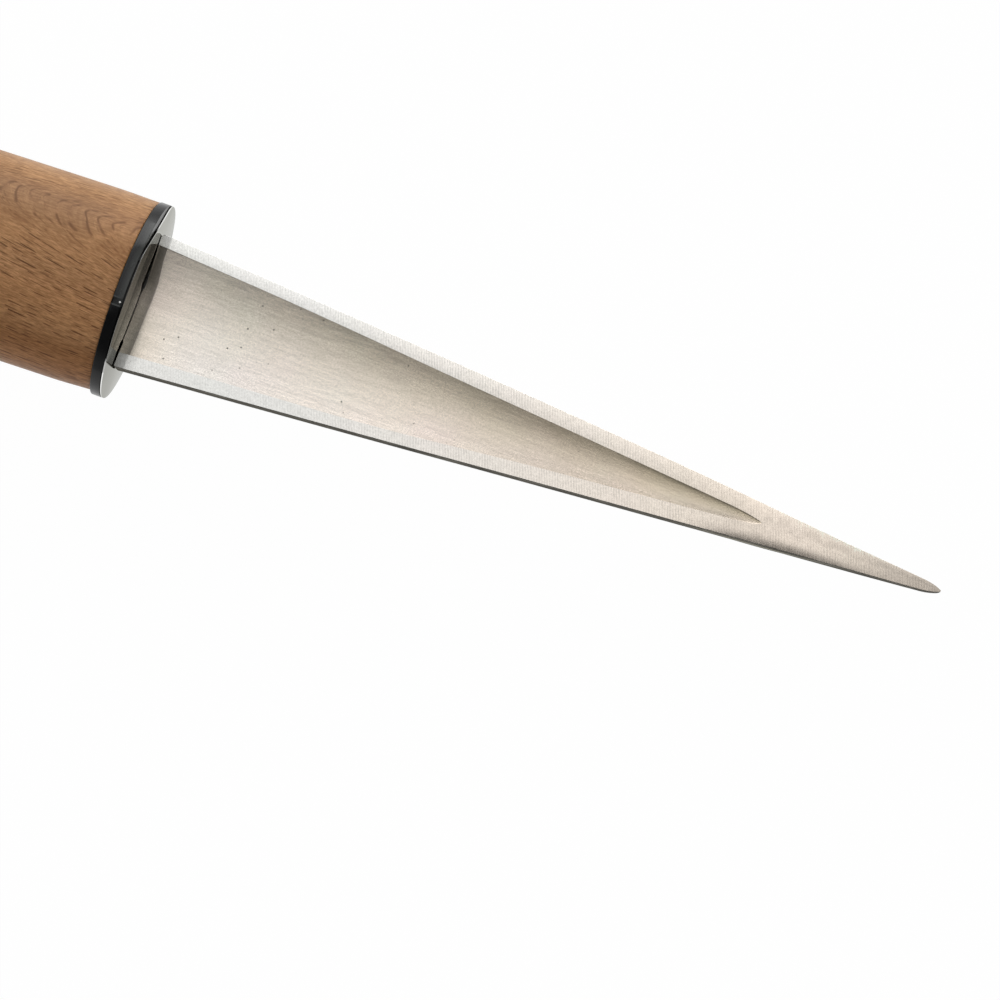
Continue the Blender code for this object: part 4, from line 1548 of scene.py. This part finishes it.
@dataclass
class Grip:
    """The beech grip with its mortise and counterbore, and the plug in its butt."""

    front: float = -2.3 * MM
    half_width: float = 18.2 * MM
    half_depth: float = 14.6 * MM
    spans: tuple[float, ...] = (0.0, 8.0 * MM, 32.0 * MM, 36.0 * MM, 26.0 * MM)
    ups: tuple[float, ...] = (0.977, 0.974, 0.918, 0.863, 0.874)
    downs: tuple[float, ...] = (0.963, 0.989, 1.020, 0.930, 0.934)
    depths: tuple[float, ...] = (0.966, 0.986, 0.973, 0.938, 0.993)
    butt_span: float = 14.0 * MM
    butt_round: float = 4.0 * MM
    front_edge: float = 0.25 * MM
    edge_share: float = 0.3
    mortise: Pair = (7.2 * MM, 3.8 * MM)
    mortise_run: float = 60.0 * MM
    bore_radius: float = 7.5 * MM
    bore_edge: float = 0.3 * MM
    plug_gap: float = 0.3 * MM
    plug_length: float = 6.0 * MM
    plug_seat: float = 1.0 * MM
    plug_edge: float = 0.35 * MM
    steps: int = 12
    round_steps: int = 8
    sides: int = 128
    plug_sides: int = 64

    @property
    def butt(self) -> float:
        """Where the grip ends."""
        return self.front - sum(self.spans) - self.butt_span

    def stations(self) -> list[Oval]:
        """The sections that set the grip's lines."""
        found = []
        x = self.front
        for span, up, down, depth in zip(self.spans, self.ups, self.downs, self.depths):
            x -= span
            found.append(Oval(x, up * self.half_width, down * self.half_width, depth * self.half_depth))
        return found

    def outside(self) -> list[Oval]:
        """Smooth sections between the stations, from front to rear."""
        stations = self.stations()
        ovals = []
        for index in range(len(stations) - 1):
            here, after = stations[index], stations[index + 1]
            run = after.x - here.x
            for step in range(self.steps):
                share = step / self.steps
                sizes = []
                for line in ("up", "down", "depth"):
                    rise, fall = (self._slope(stations, at, line) * run for at in (index, index + 1))
                    sizes.append(self._blend(getattr(here, line), rise, getattr(after, line), fall, share))
                ovals.append(Oval(here.x + run * share, *sizes))
        return [*ovals, stations[-1]]

    @staticmethod
    def _slope(stations: Sequence[Oval], index: int, line: str) -> float:
        """How fast a line rises at a station; level at the rear."""
        if index == len(stations) - 1:
            return 0.0
        before, after = stations[max(index - 1, 0)], stations[index + 1]
        return (getattr(after, line) - getattr(before, line)) / (after.x - before.x)

    @staticmethod
    def _blend(first: float, rise: float, last: float, fall: float, share: float) -> float:
        """A cubic between two values with a rise at each."""
        rest = 1.0 - share
        start = first * (1.0 + 2.0 * share) * rest**2 + rise * share * rest**2
        return start + last * (1.0 + 2.0 * rest) * share**2 - fall * rest * share**2

    def body(self) -> Mesh:
        """Lofts the grip from the end of its mortise, round its outside, into its counterbore."""
        width, depth = self.mortise
        outside = self.outside()
        first, rear = outside[0], outside[-1]
        edge = self.front_edge
        bend = self.edge_share * edge
        mortise = [Oval(x, width, width, depth) for x in (self.front - self.mortise_run, self.front)]
        steps = ((0.0, edge), (bend, bend), (edge, 0.0))
        lead = [first.inset(first.x - run, inset) for run, inset in steps]
        turned = []
        for step in range(self.round_steps + 1):
            turn = QUARTER * step / self.round_steps
            inset = self.butt_round * (1.0 - math.cos(turn))
            x = self.butt + self.butt_round * (1.0 - math.sin(turn))
            turned.append(rear.inset(x, inset))
        bore = [
            disc(self.butt, self.bore_radius + self.bore_edge),
            disc(self.butt + self.bore_edge, self.bore_radius),
            disc(self.butt + self.plug_length + self.plug_seat, self.bore_radius),
        ]
        return loft([*mortise, *lead, *outside[1:], *turned, *bore], self.sides)

    def plug(self) -> Mesh:
        """Lofts the plug, with rounded ends."""
        radius = self.bore_radius - self.plug_gap
        edge = self.plug_edge
        bend = self.edge_share * edge
        inner = self.butt + self.plug_length
        ovals = [disc(inner, radius - edge), disc(inner - edge, radius), disc(self.butt + edge, radius)]
        ovals += [disc(self.butt + bend, radius - bend), disc(self.butt, radius - edge)]
        return loft(ovals, self.plug_sides)

    def build(self, shop: Workshop, grip_finish: Finish, plug_finish: Finish) -> None:
        """Builds and dresses the grip and its plug."""
        shop.piece("beech_grip", self.body(), [grip_finish.material()], "grip")
        shop.piece("beech_plug", self.plug(), [plug_finish.material()], "butt_plug")


@dataclass
class Fastening:
    """The washers and the nut in the counterbore, which keep their CAD shapes."""

    nodes: tuple[str, ...] = ("tang_washer", "spring_washer", "tang_nut")

    def dress(self, frame: dict[str, Any], finish: Finish) -> None:
        """Gives the CAD nodes their finish."""
        material = finish.material()
        for name in self.nodes:
            slots = frame["nodes"][name].data.materials
            slots.clear()
            slots.append(material)
            LOG.info("node %s keeps its shape", name)


@dataclass(frozen=True)
class Lamp:
    """One soft rectangular light."""

    name: str
    place: Vector
    target: Vector
    size: Pair
    radiance: float
    upright: Vector
    glossy: bool = True

    def build(self) -> None:
        """Hangs the light so that it faces its target."""
        light = bpy.data.lights.new(self.name, "AREA")
        light.shape = "RECTANGLE"
        light.size, light.size_y = self.size
        light.energy = self.radiance * math.pi * self.size[0] * self.size[1]
        back = (self.place - self.target).normalized()
        right = self.upright.cross(back).normalized()
        up = back.cross(right)
        thing = bpy.data.objects.new(self.name, light)
        thing.matrix_world = Matrix.Translation(self.place) @ Matrix((right, up, back)).transposed().to_4x4()
        thing.visible_camera = False
        thing.visible_glossy = self.glossy
        bpy.context.scene.collection.objects.link(thing)


@dataclass
class Studio:
    """Floor, light and camera of the photograph."""

    camera_place: Vector = Vector((0.097583, -0.058221, 0.714781))
    right: Vector = Vector((0.938392, 0.344067, -0.032216))
    up: Vector = Vector((-0.340549, 0.936561, 0.082942))
    back: Vector = Vector((0.05871, -0.066861, 0.996033))
    lens: float = 144.0
    sensor: float = 36.0
    aim: Vector = Vector((0.0, 0.0, 0.02))
    floor_half: float = 6.0
    floor_drop: float = 0.2 * MM
    floor_colour: Colour = (0.92, 0.92, 0.92)
    floor_rough: float = 0.9
    shadow_share: float = 0.015
    surround: float = 0.10
    wall: float = 0.5
    wall_rise: Pair = (0.50, 0.30)
    box_height: float = 2.5
    box_right: Pair = (-2.2, 0.43)
    box_up: Pair = (-0.18, 2.6)
    box_radiance: float = 1.1
    side_place: tuple[float, float, float] = (-0.15, 1.25, 0.42)
    side_size: Pair = (2.0, 1.0)
    side_radiance: float = 3.0
    point_right: Pair = (0.66, 1.7)
    point_up: Pair = (-0.6, 1.8)
    point_radiance: float = 0.80
    fill_place: tuple[float, float, float] = (-0.3, -1.2, 0.7)
    fill_size: Pair = (1.6, 1.0)
    fill_radiance: float = 0.45

    def build(self) -> None:
        """Sets up the stage."""
        bpy.context.scene.view_settings.view_transform = "Standard"
        self._floor()
        self._world()
        self._lights()
        self._camera()

    def _flat(self, along_right: float, along_up: float, height: float) -> Vector:
        """A point above the floor by its place along the picture's sides."""
        right = Vector((self.right.x, self.right.y, 0.0)).normalized()
        up = Vector((-right.y, right.x, 0.0))
        return right * along_right + up * along_up + Vector((0.0, 0.0, height))

    def _lights(self) -> None:
        """Two box lights overhead, a lower one beyond the knife's back and a faint fill."""
        level = Vector((0.0, 0.0, 1.0))
        self._overhead("top_box", self.box_right, self.box_up, self.box_radiance)
        self._overhead("point_box", self.point_right, self.point_up, self.point_radiance)
        side, front = self._flat(*self.side_place), self._flat(*self.fill_place)
        Lamp("side_box", side, self.aim, self.side_size, self.side_radiance, level).build()
        Lamp("front_fill", front, self.aim, self.fill_size, self.fill_radiance, level, glossy=False).build()

    def _overhead(self, name: str, right: Pair, up: Pair, radiance: float) -> None:
        """Hangs a level box light over an area of the floor."""
        centre = self._flat(sum(right) / 2.0, sum(up) / 2.0, self.box_height)
        below = centre - Vector((0.0, 0.0, 1.0))
        size = (right[1] - right[0], up[1] - up[0])
        Lamp(name, centre, below, size, radiance, self._flat(0.0, 1.0, 0.0)).build()

    def _floor(self) -> None:
        """A plain white floor that keeps a faint shadow."""
        bm = bmesh.new()
        bmesh.ops.create_grid(bm, x_segments=1, y_segments=1, size=self.floor_half)
        bmesh.ops.translate(bm, verts=bm.verts, vec=(0.0, 0.0, -self.floor_drop))
        mesh = bpy.data.meshes.new("floor")
        bm.to_mesh(mesh)
        bm.free()
        material = bpy.data.materials.new("floor_white")
        material.use_nodes = True
        sketch = NodeSketch(material.node_tree)
        shader = material.node_tree.nodes["Principled BSDF"]
        sketch.feed((*self.floor_colour, 1.0), shader, "Base Color")
        sketch.feed(self.floor_rough, shader, "Roughness")
        rays = sketch.add("LightPath").outputs
        seen = sketch.value("MAXIMUM", rays["Is Camera Ray"], rays["Is Glossy Ray"])
        seen = sketch.value("MAXIMUM", seen, rays["Is Transmission Ray"])
        glow = sketch.add("Emission", {"Color": (1.0, 1.0, 1.0, 1.0), "Strength": 1.0})
        share = sketch.product(seen, 1.0 - self.shadow_share)
        mixed = sketch.add("MixShader", {0: share, 1: shader.outputs[0], 2: glow.outputs[0]})
        sketch.feed(mixed.outputs[0], material.node_tree.nodes["Material Output"], "Surface")
        mesh.materials.append(material)
        floor = bpy.data.objects.new("floor", mesh)
        bpy.context.scene.collection.objects.link(floor)
        floor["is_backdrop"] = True

    def _world(self) -> None:
        """A dim surround, with pale walls that show in reflections."""
        world = bpy.data.worlds.new("studio")
        world.use_nodes = True
        sketch = NodeSketch(world.node_tree)
        rise = sketch.parts(sketch.add("TexCoord").outputs["Generated"])[2]
        mirrored = sketch.add("LightPath").outputs["Is Glossy Ray"]
        wall = sketch.product(sketch.span(rise, *self.wall_rise), mirrored)
        backdrop = world.node_tree.nodes["Background"]
        sketch.feed((1.0, 1.0, 1.0, 1.0), backdrop, "Color")
        sketch.feed(sketch.span(wall, 0.0, 1.0, self.surround, self.wall), backdrop, "Strength")
        bpy.context.scene.world = world

    def _camera(self) -> None:
        """The camera that took the photograph, fitted to the knife's outline."""
        data = bpy.data.cameras.new("photo_camera")
        data.sensor_width = self.sensor
        data.lens = self.lens
        camera = bpy.data.objects.new("photo_camera", data)
        turn = Matrix((self.right, self.up, self.back)).transposed().to_4x4()
        camera.matrix_world = Matrix.Translation(self.camera_place) @ turn
        bpy.context.scene.collection.objects.link(camera)
        bpy.context.scene.camera = camera


def main() -> None:
    """Loads the frame, builds the knife's pieces and sets the stage."""
    logging.basicConfig(level=logging.INFO, format="%(name)s: %(message)s")
    for thing in list(bpy.data.objects):
        bpy.data.objects.remove(thing, do_unlink=True)
    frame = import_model()
    cad_box = tuple(corner.copy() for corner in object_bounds())
    low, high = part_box("bolster_plate")
    origin = Vector((high.x, 0.0, (low.z + high.z) / 2.0))
    stud_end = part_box("blade")[0].x - origin.x
    kit = GroupKit()
    shop = Workshop(origin)

    blade = Blade()
    steels = (
        RimSteel("cross_ground_steel", origin, kit, turn=blade.brush_turn),
        HollowSteel("long_ground_steel", origin, kit),
        DarkSteel("dark_edge_steel", origin, kit),
    )
    blade.build(shop, steels, stud_end)
    plate_finish = PolishedSteel("polished_steel", origin, kit)
    Bolster().build(shop, plate_finish, BlackPlastic("black_plastic", origin, kit))
    plug_finish = Beech("beech_end_grain", origin, kit, cut_place=0.0, pith=(-16.0, 24.0))
    Grip().build(shop, Beech("beech", origin, kit), plug_finish)
    Fastening().dress(frame, ZincSteel("zinc_steel", origin, kit))
    Studio().build()
    LOG.info("%d pieces stand for CAD nodes", len(shop.made))


if __name__ == "__main__":
    main()
